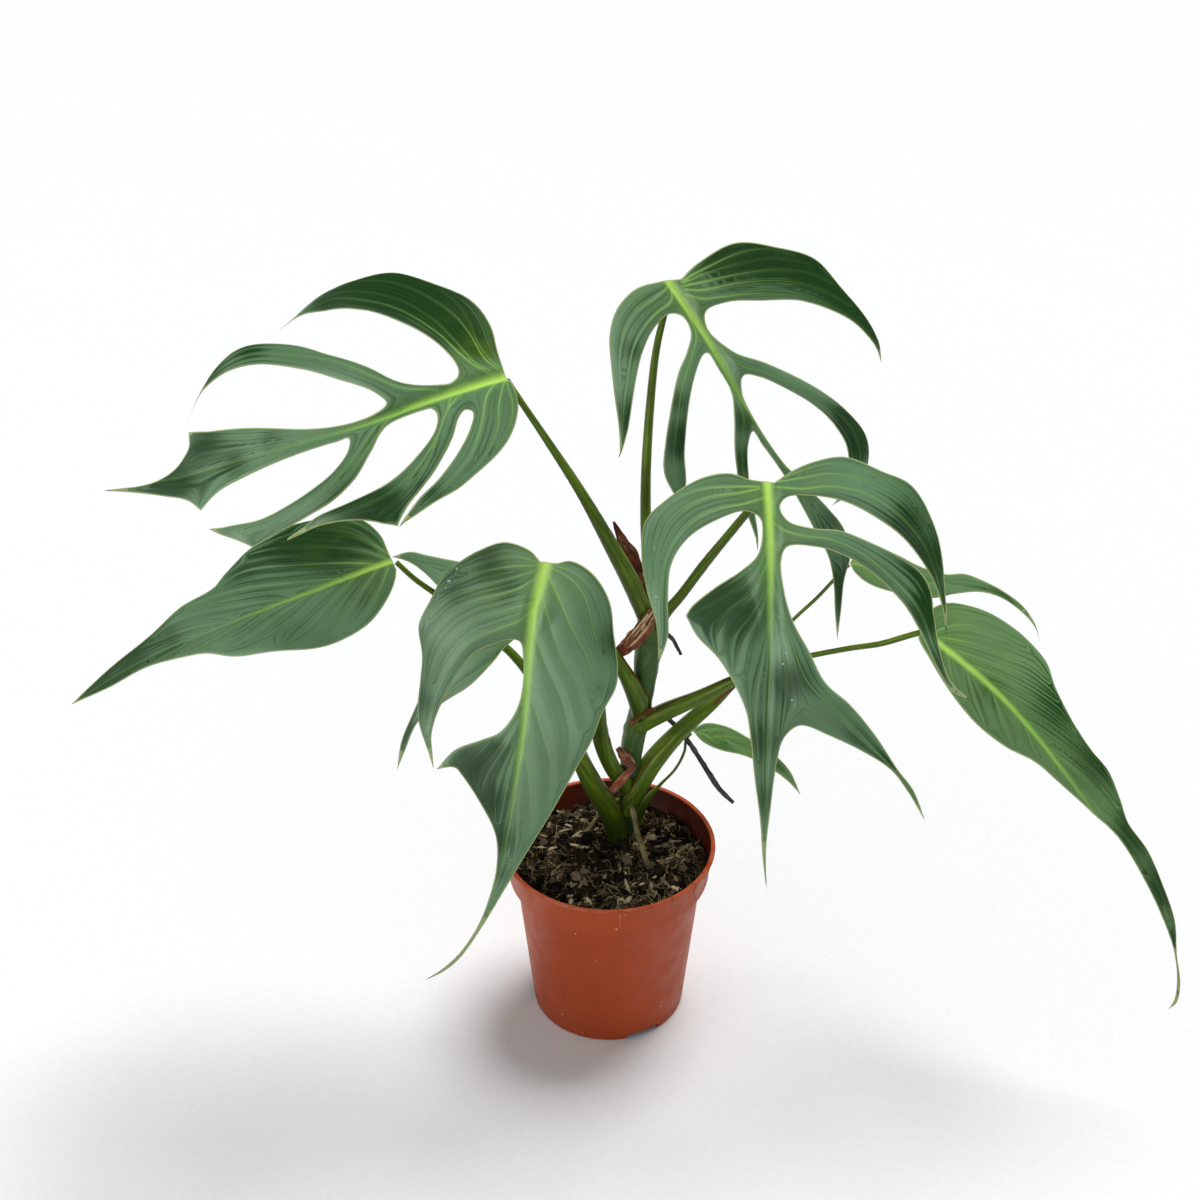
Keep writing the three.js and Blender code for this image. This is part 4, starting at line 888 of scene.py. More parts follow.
def pot_material():
    """Thin terracotta-coloured plastic, a little scuffed, with painted shade and patches of earth on its
    inner side
    """
    s = Shader("pot", specular=0.16)
    normal = s.node("NewGeometry").outputs["Normal"]
    facing = s.node("VectorMath", {0: normal, 1: s.place}, operation="DOT_PRODUCT").outputs["Value"]
    inner = s.mask(facing, 0.0, -0.01)
    wear_and_highlight = s.mask(s.axes()["Z"], WEAR_AND_HIGHLIGHT_FROM * METRES, WEAR_AND_HIGHLIGHT_TO * METRES)
    colour = s.coats(
        s.mix(s.patches(16, 3, 0.3, 0.72), POT_COLOURS["dull"], POT_COLOURS["bright"]),
        (s.patches(240, 5, 0.6, 0.72), 0.2, POT_COLOURS["dust"]),
        (s.patches(700, 2, 0.74, 0.78), 0.4, POT_COLOURS["speck"]),
        # painted shade: the whole inner face darkened, with patches of earth over it
        (inner, 0.9, POT_COLOURS["inner side"]),
        (s.times(inner, s.patches(60, 4, 0.25, 0.6)), 0.6, POT_COLOURS["earth"]),
        # lighter patches along the lip: partly wear, partly painted highlight
        (s.times(wear_and_highlight, s.patches(120, 3, 0.3, 0.6)), 0.6, POT_COLOURS["rim wear and highlight"]),
    )
    rough = s.mix(s.patches(90, 4, 0.35, 0.7), *POT_ROUGHNESS)
    return s.finish(colour, s.bump(s.noise(1200, 3), 0.03), rough)


def floor_material():
    """Plain pale studio floor"""
    s = Shader("floor", roughness=0.8, specular=0.1)
    return s.finish(s.mix(s.patches(300, 2, 0.3, 0.7), *FLOOR_GREYS))


def backdrop_material():
    """Even white that needs no light"""
    s = Shader("backdrop", specular=0)
    s.settle("Base Color", (0, 0, 0, 1))
    s.settle("Emission Color", srgb(*BACKDROP_WHITE))
    s.settle("Emission Strength", 1)
    s.material.cycles.emission_sampling = "NONE"
    return s.material


# Blades
class Leaf:
    """A blade's own frame: u from base to tip, v to the left seen from above, z towards `facing`"""

    def __init__(self, name):
        self.name = name
        self.facts = LEAVES[name]
        base, tip, facing = (np.array(self.facts[key], float) for key in ("base", "tip", "facing"))
        self.base = base
        self.length = np.linalg.norm(tip - base)
        self.along = unit(tip - base)
        self.up = unit(facing - facing @ self.along * self.along)
        self.side = np.cross(self.up, self.along)
        mains = MAIN_VEINS.get(name, [])
        self.mains = len(mains)
        self.lines = [centripetal(vein, VEIN_STEP) for vein in mains + SIDE_VEINS[name]]
        u = np.arange(MIDRIB_START, self.length - MIDRIB_END, VEIN_STEP)
        self.midrib = np.stack([u, through(self.facts["midrib"], u)], axis=1)

    def outline(self):
        corner = OUTLINES[self.name][-1][-1]
        rows = []
        for stretch in OUTLINES[self.name]:
            rows.append(even(centripetal([corner, *stretch], CURVE_STEP), EDGE_STEP)[1:])
            corner = stretch[-1]
        return np.vstack(rows)

    def offset(self, points):
        return points[:, 1] - through(self.facts["midrib"], points[:, 0])

    def height(self, points):
        """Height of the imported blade's middle surface"""
        f = self.facts
        u, q = points[:, 0], self.offset(points)
        bow = f["arch"] * (1 - (2 * u / self.length - 1) ** 2)
        halves = np.where(q > 0, f["fold"][0], f["fold"][1]) * np.abs(q) - f["droop"] * q * q
        height, length, start = f["wave"]
        phase = 2 * math.pi * u / length + start + np.where(q > 0, 0, WAVE_SIDE_SHIFT)
        return bow + halves + height * np.minimum(np.abs(q) / WAVE_REACH, WAVE_MOST) ** 2 * np.sin(phase)

    def rib_width(self, u):
        share = np.clip(1 - u / self.length, 0, 1)
        return RIB_TIP_WIDTH + (self.facts["rib"][0] - RIB_TIP_WIDTH) * share**RIB_TAPER

    def paleness(self, along):
        """How pale the midrib is, which fades towards the tip"""
        pale, reach = self.facts["rib"][1:]
        return pale * (1 - RIB_FADE * smooth(along, RIB_FADE_START * reach, reach))

    def faintness(self):
        """How much each vein loses of its pale line, the main ones least"""
        dice = random.Random(len(self.lines) * 7)
        return np.array([0.0] * self.mains + [dice.uniform(0, FAINTEST_VEIN) for _ in SIDE_VEINS[self.name]])

    def painted_shade(self, points):
        """How much painted shade deepens the green at each point, 0 to 1"""
        light = np.ones(len(points))
        for u, v, radius, depth in PAINTED_SHADES[self.name]:
            away = (points[:, 0] - u) ** 2 + (points[:, 1] - v) ** 2
            light *= 1 - depth * np.exp(-away / (SHADE_SPREAD * radius) ** 2)
        return 1 - light

    def world(self, points, heights):
        flat = points[:, :1] * self.along + points[:, 1:2] * self.side
        return self.base + flat + heights[:, None] * self.up

    def rows(self):
        """Rows of points along the midrib and the veins, and beside them"""
        rows = [self.midrib]
        for side in (-1, 1):
            for share in RIB_ROWS:
                step = side * share * self.rib_width(self.midrib[:, 0])
                rows.append(self.midrib + np.stack([0 * step, step], axis=1))
        rows += self.lines
        for line in self.lines:
            across = left_of(unit(np.gradient(line, axis=0)))
            rows += [line + across * VEIN_SIDE, line - across * VEIN_SIDE]
        return rows

    def seeds(self, loop):
        """Points inside the outline: a row along the margin, rows along the veins and an even filling"""
        inward = left_of(unit(np.roll(loop, -1, axis=0) - np.roll(loop, 1, axis=0)))
        area = np.sum(loop[:, 0] * np.roll(loop[:, 1], -1) - np.roll(loop[:, 0], -1) * loop[:, 1])
        margin = loop + inward * MARGIN_ROW * math.copysign(1, area)
        low, high = loop.min(axis=0), loop.max(axis=0)
        fill = np.array([
            (u + (k % 2) * FILL_STEP / 2, v)
            for k, v in enumerate(np.arange(low[1], high[1], FILL_STEP * math.sqrt(3) / 2))
            for u in np.arange(low[0], high[0], FILL_STEP)
        ])
        lines = np.vstack(self.rows())
        points = np.vstack([margin, lines, fill])
        counts = [len(margin), len(lines), len(fill)]
        clear = np.repeat([ROW_INSIDE * MARGIN_ROW, LINE_INSIDE * MARGIN_ROW, CLEAR_OF_MARGIN], counts)
        gaps = np.repeat([CLEAR_IN_MARGIN_ROW, CLEAR_OF_LINE, CLEAR_IN_FILL], counts)
        chosen = within(points, loop) & (distance(points, closed(loop))[0] > clear)
        return thinned(points[chosen], gaps[chosen].tolist())


def left_of(ahead):
    return np.stack([-ahead[:, 1], ahead[:, 0]], axis=1)


def closed(loop):
    return np.vstack([loop, loop[:1]])


def bell(away, width):
    """1 where `away` is 0, and near 0 from twice the width on"""
    return np.exp(-((away / width) ** 2))


def filled(loop, seeds):
    """The points and triangles that fill an outline, all facing up"""
    ring = [(i, (i + 1) % len(loop)) for i in range(len(loop))]
    spots = [Vector(p) for p in np.vstack([loop, seeds]).tolist()]
    found = geometry.delaunay_2d_cdt(spots, ring, [], 1, SAME_POINT)
    flat = np.array([tuple(p) for p in found[0]])
    faces = np.array([tuple(f) for f in found[2]])
    a, b, c = (flat[faces[:, k]] for k in range(3))
    turned = np.cross(b - a, c - a) < 0
    faces[turned] = faces[turned][:, ::-1]
    return flat, faces


def on_rim(faces, count):
    """Which points lie on an edge that only one triangle has"""
    pairs = np.sort(np.vstack([faces[:, [0, 1]], faces[:, [1, 2]], faces[:, [2, 0]]]), axis=1)
    pairs, uses = np.unique(pairs, axis=0, return_counts=True)
    rim = np.zeros(count, bool)
    rim[pairs[uses == 1].ravel()] = True
    return rim


def normals(points, faces):
    a, b, c = (points[faces[:, k]] for k in range(3))
    total = np.zeros_like(points)
    for k in range(3):
        np.add.at(total, faces[:, k], np.cross(b - a, c - a))
    return unit(total)


class Places:
    """Where the points of a blade lie among its margin, veins and midrib"""

    def __init__(self, leaf, flat, loop):
        gaps, along = (np.array(rows) for rows in zip(*(distance(flat, line) for line in leaf.lines)))
        nearest = gaps.argmin(axis=0)
        self.u = flat[:, 0]
        self.to_tip = leaf.length - self.u
        self.edge = distance(flat, closed(loop))[0]
        self.vein = gaps.min(axis=0)
        self.main = gaps[:leaf.mains].min(axis=0) if leaf.mains else np.full(len(flat), np.inf)
        self.along_vein = along[nearest, np.arange(len(flat))]
        self.faint = leaf.faintness()[nearest]
        self.off_midrib = np.abs(leaf.offset(flat))
        self.rib = self.off_midrib / leaf.rib_width(self.u)
        ordered = np.sort(np.vstack([gaps, self.off_midrib[None]]), axis=0)
        self.line = ordered[0]
        self.fan = self.line / (self.line + np.minimum(ordered[1], self.edge) + FAN_FLOOR)
        self.calm = smooth(self.edge, 0, CALM_MARGIN)


def relief(leaf, flat, at):
    """Height of the blade's middle surface with its valleys, pillows, pleats and veins"""
    shoulder = smooth(at.off_midrib, *SHOULDER)
    height = leaf.height(flat)
    height += VALLEY_SLOPE * (np.sqrt(np.minimum(at.main, VALLEY_REACH) ** 2 + 1) - VALLEY_REACH) * shoulder
    height += PILLOW_HEIGHT * (1 - bell(at.line, PILLOW_WIDTH)) * at.calm
    height -= VEIN_DEPTH * bell(at.vein, VEIN_WIDTH) * (1 - at.along_vein) * at.calm
    height -= PLEAT_HEIGHT * np.cos(math.pi * PLEATS * at.fan) * at.calm * shoulder
    return height - RIB_DEPTH * bell(at.rib, 1) * smooth(at.to_tip, 0, RIB_TIP_REACH)


def blade(leaf, material):
    """A thin closed leaf blade, its midrib and veins raised underneath"""
    loop = leaf.outline()
    flat, faces = filled(loop, leaf.seeds(loop))
    at = Places(leaf, flat, loop)
    middle = leaf.world(flat, relief(leaf, flat, at))
    normal = normals(middle, faces)
    rim = on_rim(faces, len(flat))
    half = (MARGIN_THICKNESS + (BLADE_THICKNESS - MARGIN_THICKNESS) * smooth(at.edge, 0, MARGIN_WIDTH)) / 2
    half[rim] = 0
    keel = RIB_SHARE * np.clip(at.to_tip, 0, leaf.length)
    keel *= bell(at.rib, KEEL_WIDTH) * smooth(at.u, *KEEL_START)
    ridge = RIDGE_HEIGHT * bell(at.vein, RIDGE_WIDTH) * (1 - at.along_vein) * at.calm
    upper = middle + normal * half[:, None]
    lower = middle - normal * (half + keel + ridge)[:, None]
    twin = np.arange(len(flat))
    twin[~rim] = len(flat) + np.arange((~rim).sum())

    along = at.u / leaf.length
    values = {
        "edge": at.edge,
        "vein": at.vein + VEIN_FADE * at.along_vein**VEIN_FADE_CURVE + at.faint,
        "rib": at.rib,
        "fan": at.fan,
        "along": along,
        "pale": leaf.paleness(along),
        # how much painted shade darkens the green at each point
        "painted_shade": leaf.painted_shade(flat),
        "fresh": np.full(len(flat), FRESH_LEAVES.get(leaf.name, 0.0)),
        "near": np.hypot(at.u - LEAF_HEART, flat[:, 1]),
    }
    values = {key: np.concatenate([numbers, numbers[~rim]]) for key, numbers in values.items()}
    values["under"] = np.repeat([0.0, 1.0], len(faces))
    points = np.vstack([upper, lower[~rim]])
    faces = np.vstack([faces, twin[faces][:, ::-1]])
    make("leaf_" + leaf.name, points, faces, material, values, "blade_" + leaf.name)


# Stalks
STALK_SIDES = 24
STALK_STEP = 1.8
JOINT_GAP = 1.5
# A stalk's upper side: the half widths between which it turns into a sheath, depths and heights as shares of
# the radius, and places and widths as angles from the top
SHEATH_WIDTHS = (2.4, 5)
GROOVE_DEPTH = 0.05
SHEATH_GROOVE_DEPTH = 0.16
GROOVE_TURN = 0.55
WING_HEIGHT = 0.13
WING_PLACE = 0.95
WING_TURN = 0.16
# Leaf-scar rings of the stem: place along it and height; and how wide they are
STEM_BULGES = [(0.24, 0.07), (0.36, 0.08), (0.54, 0.08), (0.64, 0.07), (0.9, 0.08)]
BULGE_WIDTH = 0.012
STEM_ROUGHNESS = 0.04
ROOT_ROUGHNESS = 0.35
ROUGH_ROUND = 3
ROUGH_ALONG = 30
TOP_LEAN = 1e-6
OLIVE_ROOTS = ("root_front", "root_left")


def rings(route, girth, step, reach=0):
    """Middle points of a stalk, its cross directions and its half width, evenly along a smooth route"""
    line = even(centripetal(route, CURVE_STEP), step)
    line = line[:len(line) - round(reach / step)]
    t = np.linspace(0, 1, len(line))
    ahead = unit(np.gradient(line, axis=0))
    across = unit(np.cross(ahead, (0, 1, 0)))
    deep = unit(np.cross(ahead, across))
    marks = [(i / (len(girth) - 1), value) for i, value in enumerate(girth)]
    return line, across, deep, through(marks, t), t


def turns(sides):
    return 2 * math.pi * np.arange(sides) / sides


def tube(line, across, deep, radius, sides):
    """Points and faces of a closed tube, its radius given for each ring or each point"""
    turn = turns(sides)
    points = (line[:, None] + across[:, None] * (np.cos(turn) * radius)[..., None]
              + deep[:, None] * (np.sin(turn) * radius)[..., None])
    grid = np.arange(len(line) * sides).reshape(-1, sides)
    after = np.roll(grid, -1, axis=1)
    faces = np.stack([grid[:-1], after[:-1], after[1:], grid[1:]], axis=-1).reshape(-1, 4).tolist()
    faces += [grid[0, ::-1].tolist(), grid[-1].tolist()]
    return points.reshape(-1, 3), faces


def stalk(name, way, material, node, upper_side=True, reach=0, bulges=(), rough=0.0):
    """A stalk, stem or root; one with an upper side has a groove there, and wings where it is a sheath"""
    route, girth = way["route"], way["girth"]
    line, across, deep, half, t = rings(route, girth, STALK_STEP, reach)
    ahead = unit(np.gradient(line, axis=0))
    top = unit(UP - (ahead @ UP)[:, None] * ahead + TOP_LEAN)
    start = np.arctan2((top * deep).sum(1), (top * across).sum(1))[:, None]
    angle = (turns(STALK_SIDES) - start + math.pi) % (2 * math.pi) - math.pi
    sheath = smooth(half, *SHEATH_WIDTHS)[:, None] * upper_side
    wings = bell(np.abs(angle) - WING_PLACE, WING_TURN)
    groove = SHEATH_GROOVE_DEPTH * sheath + GROOVE_DEPTH * upper_side
    size = 1 - groove * bell(angle, GROOVE_TURN) + WING_HEIGHT * sheath * wings
    for place, height in bulges:
        size = size + height * bell(t - place, BULGE_WIDTH)[:, None]
    if rough:
        seed = Vector((len(name) * 3.1, len(girth) * 1.7, 0))
        rounds = [(ROUGH_ROUND * math.cos(turn), ROUGH_ROUND * math.sin(turn)) for turn in turns(STALK_SIDES)]
        wobble = [[noise.noise(Vector((*r, ROUGH_ALONG * s)) + seed) for r in rounds] for s in t]
        size = size + rough * np.array(wobble)
    points, faces = tube(line, across, deep, half[:, None] * size, STALK_SIDES)
    values = {
        "wing": (wings * sheath).ravel(),
        "turn": np.cos(angle / 2).ravel(),
        "along": np.repeat(t, STALK_SIDES) * len(t) * STALK_STEP,
    }
    make(name, points, faces, material, values, node)


# Husks
HUSK_STEP = 0.8
HUSK_COLUMNS = 22
HUSK_THICKNESS = 0.35
HUSK_RAGGED_SIDES = 0.22
HUSK_LIFT = 0.45
HUSK_WRINKLES = 0.18
HUSK_CURL = 0.28
HUSK_FRAYED_END = 0.12
HUSK_FRAY = 1.6
HUSK_THIN_SIDES = 0.6


def husk(name, way, material):
    """A torn papery strip that curls round what it lies on, with frayed sides and ends"""
    line, across, deep, half, t = rings(way["route"], way["girth"], HUSK_STEP)
    seed = Vector((sum(way["route"][0]), 0, 0))
    columns = np.linspace(-1, 1, HUSK_COLUMNS)
    rows, cols = len(line), HUSK_COLUMNS
    grid = np.zeros((2, rows, cols, 3))
    for i in range(rows):
        ahead = unit(line[min(i + 1, rows - 1)] - line[max(i - 1, 0)])
        frayed = (max(0, HUSK_FRAYED_END - t[i]) + max(0, t[i] - (1 - HUSK_FRAYED_END))) / HUSK_FRAYED_END
        for j, x in enumerate(columns):
            ragged = 1 + HUSK_RAGGED_SIDES * noise.noise(Vector((t[i] * 9, math.copysign(4, x), 0)) + seed)
            lift = HUSK_LIFT * noise.noise(Vector((t[i] * 6, x * 1.5, 5)) + seed)
            lift += HUSK_WRINKLES * noise.noise(Vector((t[i] * 3, x * 9, 9)) + seed)
            fray = HUSK_FRAY * noise.noise(Vector((x * 5, 3, 3 if i else 8)) + seed) * frayed
            curl = half[i] * HUSK_CURL * x * x
            spot = line[i] + across[i] * half[i] * x * ragged + ahead * fray
            thick = HUSK_THICKNESS / 2 * (1 - HUSK_THIN_SIDES * x * x)
            for face, side in enumerate((1, -1)):
                grid[face, i, j] = spot + deep[i] * (curl + lift + side * thick)
    index = np.arange(rows * cols).reshape(rows, cols)
    quads = np.stack([index[:-1, :-1], index[:-1, 1:], index[1:, 1:], index[1:, :-1]], axis=-1).reshape(-1, 4)
    back = rows * cols
    border = np.concatenate([index[0, :-1], index[:-1, -1], index[-1, :0:-1], index[:0:-1, 0]])
    after = np.roll(border, -1)
    walls = np.stack([after, border, border + back, after + back], axis=1)
    faces = np.vstack([quads, quads[:, ::-1] + back, walls])[:, ::-1]
    values = {
        "turn": np.tile(columns, 2 * rows),
        "along": np.tile(np.repeat(t, cols) * rows * HUSK_STEP, 2),
    }
    make(name + "_torn", grid.reshape(-1, 3), faces, material, values, name)


STRAW_COUNT = 15
STRAW_LIFT = 0.7
STRAW_LIFT_CHANGE = (-0.15, 0.35)
STRAW_PLACE = (-0.85, 0.7)
STRAW_DRIFT = (-0.15, 0.25)
STRAW_RADIUS = (0.25, 0.6)
STRAW_TONE_POWER = 0.4
STRAW_LEAST = 5
STRAW_POINTS = 5


def straws(way):
    """Loose pale strips that lie along a torn husk, on its outer side"""
    line, across, deep, half, _ = rings(way["route"], way["girth"], HUSK_STEP)
    dice = random.Random(5)
    heap = Heap()
    for _ in range(STRAW_COUNT):
        first = dice.randrange(1, len(line) // 2)
        last = min(len(line) - 2, first + dice.randrange(STRAW_LEAST, len(line) // 2))
        place, drift = dice.uniform(*STRAW_PLACE), dice.uniform(*STRAW_DRIFT)
        path = []
        for i in np.linspace(first, last, STRAW_POINTS).astype(int):
            aside = half[i] * (place + drift * (i - first) / len(line))
            lift = STRAW_LIFT + dice.uniform(*STRAW_LIFT_CHANGE)
            path.append(line[i] + across[i] * aside + deep[i] * lift)
        fibre(heap, path, dice.uniform(*STRAW_RADIUS), dice.random() ** STRAW_TONE_POWER, sides=6)
    return heap


# Soil and pot sizes: heights from the floor, outer radii of the wall and the collar
POT_HEIGHT = 110
POT_RIM_RADIUS = 60
POT_FOOT_RADIUS = 56.5
POT_WALL_TOP_RADIUS = 52.5
POT_BASE_RADIUS = 43.5
POT_WALL = 1.4
POT_FLOOR = 2
POT_LIP_FOOT = 2.9
POT_LIP = 1.4
COLLAR_FOOT = 89
COLLAR_RISE = 0.6
SHARP_EDGE = math.radians(38)
GAP = 0.3
TURN_STEPS = 192
# Drain notches: how many, their depth, width and height, their arch, and where the first one is
DRAIN_COUNT = 3
DRAIN_SIZE = (14, 20, 4.5)
DRAIN_BELOW = 1
DRAIN_ARCH = [(-1, -1), (1, -1), (1, 0.72), (0.86, 1), (-0.86, 1), (-1, 0.72)]
DRAIN_TURN = math.radians(-63)
SOIL_LEVEL = 98
SOIL_RELIEF = 1.6
SOIL_LUMPS = 2.4
SOIL_LUMP_SIZE = 9
SOIL_GRAIN = 0.8
SOIL_GRAIN_SIZE = 2.2
SOIL_TONE_SIZE = 3
SOIL_CLEAR = 0.1
SOIL_FRONT_RISE = 0.035
SOIL_EDGE = 55.6
SOIL_RINGS = 56
# Litter on the soil: how much, how far out, and ranges of its sizes
CRUMB_COUNT = 760
CRUMB_REACH = 54
CRUMB_SIZES = [0.7, 0.9, 1.2, 1.7, 2.4, 3.2]
CRUMB_FLATNESS = (0.35, 0.9)
CRUMB_RISE = 0.2
CRUMB_TONE_POWER = 3
THREAD_COUNT = 620
THREAD_LENGTHS = (3, 11)
THREAD_RADII = (0.08, 0.22)
THREAD_POINTS = 4
THREAD_HEIGHTS = (0.3, 2.8)
THREAD_BEND = 1.3
THREAD_WOBBLE = 0.3
THREAD_TONE_POWER = 2
THREAD_REACH = 52
FIBRE_REACH = 55
# Tufts of fibre in the soil: middle, spread, number of fibres and how pale
TUFTS = [
    (-24, 45, 8, 70, 0.4),
    (-34, -14, 12, 70, 0.5),
    (44, 3, 8, 60, 0.95),
    (24, -41, 12, 60, 0.9),
    (38, 34, 8, 24, 0.5),
    (2, -46, 8, 24, 0.8),
]
TUFT_LENGTHS = (4, 11)
TUFT_RADII = (0.1, 0.26)
# Bits of bark: number, reach, height, ranges of size and flatness, power and share of the tone, and stretch
CHIPS = [
    (230, 52, 1.0, (0.5, 1.5), (0.2, 0.5), 2, 1, 1.7),
    (60, 50, 1.4, (0.8, 1.5), (0.3, 0.6), 1, 0.7, 3),
    (26, 48, 1.2, (2, 3.4), (0.25, 0.45), 2, 0.6, 1),
]
# Roots that hang over the rim, and how thin they are
RIM_ROOTS = [
    [(31.5, -44, 107), (33.2, -47.3, 110.2), (34.7, -49.3, 109.6), (34.2, -48.1, 105.5), (35, -46.4, 101.2)],
    [(43.6, -34, 107), (46, -36.2, 110.2), (47.9, -37, 109.4), (46.9, -36.3, 105.9), (47.5, -33.9, 99.5),
     (48.3, -31, 93.2)],
    [(48, -24, 107), (51, -26.6, 110.2), (53.2, -27.6, 109.4), (52.5, -26, 104)],
]
RIM_ROOT_RADIUS = 0.22
# Dried splashes on the pot's outer face: turn from the front in degrees, height and size in millimetres
SPLASHES = [
    (-36, 14, 0.6), (-20, 4, 0.5), (-19, 89, 0.5), (9, 106, 0.5), (4, 95.5, 0.7), (-30, 30, 0.3),
    (22, 40, 0.3), (-52, 60, 0.35), (41, 18, 0.4), (-8, 66, 0.3), (120, 40, 0.5), (170, 70, 0.5),
    (-140, 25, 0.6), (-100, 80, 0.4),
]
# A drip on the collar, and how thick and how pale it is
DRIP = [(5.3, -60.1, 109.2), (5.9, -58.1, 104.2), (5.9, -57.5, 100.1), (5.3, -57.1, 96.9)]
DRIP_RADIUS = 0.42
DRIP_TONE = 0.1
# Dried drops on two blades, with their sizes
LEAF_SPECKS = [
    (-75.7, -46.4, 319.5, 0.9), (-79.6, -50.1, 314.8, 0.8), (-73.7, -45.6, 320.7, 0.5),
    (-81.1, -52.1, 312, 0.5), (22, -76.9, 322.5, 0.7), (84.4, -93.9, 301.4, 0.6), (83, -95.9, 296.4, 0.5),
    (87.6, -103.4, 280.5, 0.5),
]
# Dry edges of the sheaths: how thick and how pale each is, and its path
DRY_MARGINS = [
    (0.55, 0.3, [(6.7, -3.8, 238.5), (10.5, -3.4, 231.7), (14.3, -2.6, 224.7), (18.3, 3.2, 213.3),
                 (22.2, 5.8, 204.3)]),
    (0.4, 0.1, [(8, -3, 235.5), (12.2, -2.6, 228), (16, -0.4, 219), (19, 3.4, 211)]),
    (0.8, 0.5, [(12.3, 3, 188.3), (16.7, 2.1, 194.9), (20.6, 2.4, 197.4), (25, 2.8, 200.7)]),
    (0.7, 0.3, [(13.3, 3.3, 191.5), (17.5, 1.7, 197.4), (22, 1.9, 200)]),
    (0.4, 0.05, [(25.5, 6.5, 197.4), (36, 5, 204.1), (46.9, 2.8, 210.8), (58, 1.6, 217.5),
                 (68.3, 0.8, 223.9)]),
    (0.45, 0.45, [(-12.6, 4.4, 169.6), (-8.2, 4.1, 157), (-3.2, 5.1, 146), (2, 7.5, 135), (5.2, 10, 129.6),
                  (7.4, 12.5, 119), (8.6, 14.5, 110), (9.4, 15.9, 103)]),
    (0.35, 0.8, [(10.7, 10.3, 131.8), (14, 10, 142.2), (17.9, 12.1, 150.4), (22.8, 13.4, 157.8),
                 (28.4, 15.5, 164.6), (35, 17.1, 171)]),
]


def soil_top(x, y):
    mounds = math.sin(x * 0.15 + 1) * math.cos(y * 0.14) + 0.5 * math.sin(x * 0.2 - y * 0.22)
    height = SOIL_LEVEL + SOIL_RELIEF * mounds - SOIL_FRONT_RISE * y
    height += SOIL_LUMPS * noise.fractal(Vector((x / SOIL_LUMP_SIZE, y / SOIL_LUMP_SIZE, 0)), 0.6, 2, 5)
    return height + SOIL_GRAIN * abs(noise.noise(Vector((x / SOIL_GRAIN_SIZE, y / SOIL_GRAIN_SIZE, 7))))


def revolve(profile, steps):
    """A closed turned solid from (radius, height) points that start and end on the axis"""
    points, faces, rows = [], [], []
    for radius, height in profile:
        if radius == 0:
            rows.append([len(points)] * steps)
            points.append((0, 0, height))
            continue
        rows.append(list(range(len(points), len(points) + steps)))
        for k in range(steps):
            turn = 2 * math.pi * k / steps
            points.append((radius * math.cos(turn), radius * math.sin(turn), height))
    for low, high in zip(rows, rows[1:]):
        for k in range(steps):
            n = (k + 1) % steps
            faces.append(list(dict.fromkeys([low[k], low[n], high[n], high[k]])))
    return np.array(points, float), faces


def soil_bed(material):
    inner = POT_WALL + GAP
    points, faces = revolve([
        (0, POT_FLOOR + GAP),
        (POT_BASE_RADIUS - inner - 2 * SOIL_CLEAR, POT_FLOOR + GAP),
        (POT_WALL_TOP_RADIUS - inner - SOIL_CLEAR, COLLAR_FOOT + POT_WALL + GAP),
        (POT_FOOT_RADIUS - inner - SOIL_CLEAR, COLLAR_FOOT + COLLAR_RISE + POT_WALL + GAP + SOIL_CLEAR),
        *[(radius, SOIL_LEVEL) for radius in np.linspace(SOIL_EDGE, 1, SOIL_RINGS)],
        (0, SOIL_LEVEL),
    ], TURN_STEPS)
    for p in points:
        if p[2] == SOIL_LEVEL:
            p[2] = soil_top(p[0], p[1])
    tone = [0.5 + 0.5 * noise.noise(Vector(p / SOIL_TONE_SIZE)) for p in points]
    make("soil_bed", points, faces, material, {"tone": np.clip(tone, 0, 1)}, "soil")


class Heap:
    """Many small closed bits in one piece, each with a tone of its own"""

    def __init__(self):
        self.points, self.faces, self.tones = [], [], []

    def add(self, points, faces, tone):
        first = len(self.points)
        self.points += [tuple(p) for p in points]
        self.faces += [[first + i for i in face] for face in faces]
        self.tones += [tone] * len(points)

    def piece(self, name, material, slot, soft=True):
        make(name, self.points, self.faces, material, {"tone": self.tones}, soft=soft)


# A lump is a ball of twenty triangles, each cut in four
GOLDEN = (1 + 5**0.5) / 2
LUMP_POINTS = unit([
    (-1, GOLDEN, 0), (1, GOLDEN, 0), (-1, -GOLDEN, 0), (1, -GOLDEN, 0),
    (0, -1, GOLDEN), (0, 1, GOLDEN), (0, -1, -GOLDEN), (0, 1, -GOLDEN),
    (GOLDEN, 0, -1), (GOLDEN, 0, 1), (-GOLDEN, 0, -1), (-GOLDEN, 0, 1),
])
LUMP_FACES = [
    (0, 11, 5), (0, 5, 1), (0, 1, 7), (0, 7, 10), (0, 10, 11), (1, 5, 9), (5, 11, 4), (11, 10, 2),
    (10, 7, 6), (7, 1, 8), (3, 9, 4), (3, 4, 2), (3, 2, 6), (3, 6, 8), (3, 8, 9), (4, 9, 5),
    (2, 4, 11), (6, 2, 10), (8, 6, 7), (9, 8, 1),
]


def split_lump():
    points, faces, halves = [tuple(p) for p in LUMP_POINTS], [], {}

    def half(a, b):
        key = (min(a, b), max(a, b))
        if key not in halves:
            halves[key] = len(points)
            points.append(tuple(unit(np.add(points[a], points[b]))))
        return halves[key]

    for a, b, c in LUMP_FACES:
        ab, bc, ca = half(a, b), half(b, c), half(c, a)
        faces += [(a, ab, ca), (ab, b, bc), (ca, bc, c), (ab, bc, ca)]
    return np.array(points), faces


BALL_POINTS, BALL_FACES = split_lump()
# Size and depth of a lump's coarse and fine unevenness
LUMP_UNEVENNESS = [(1.7, 0.6), (3.9, 0.5)]
LUMP_LENGTHS = (0.7, 1.5)
LUMP_WIDTHS = (0.6, 1)


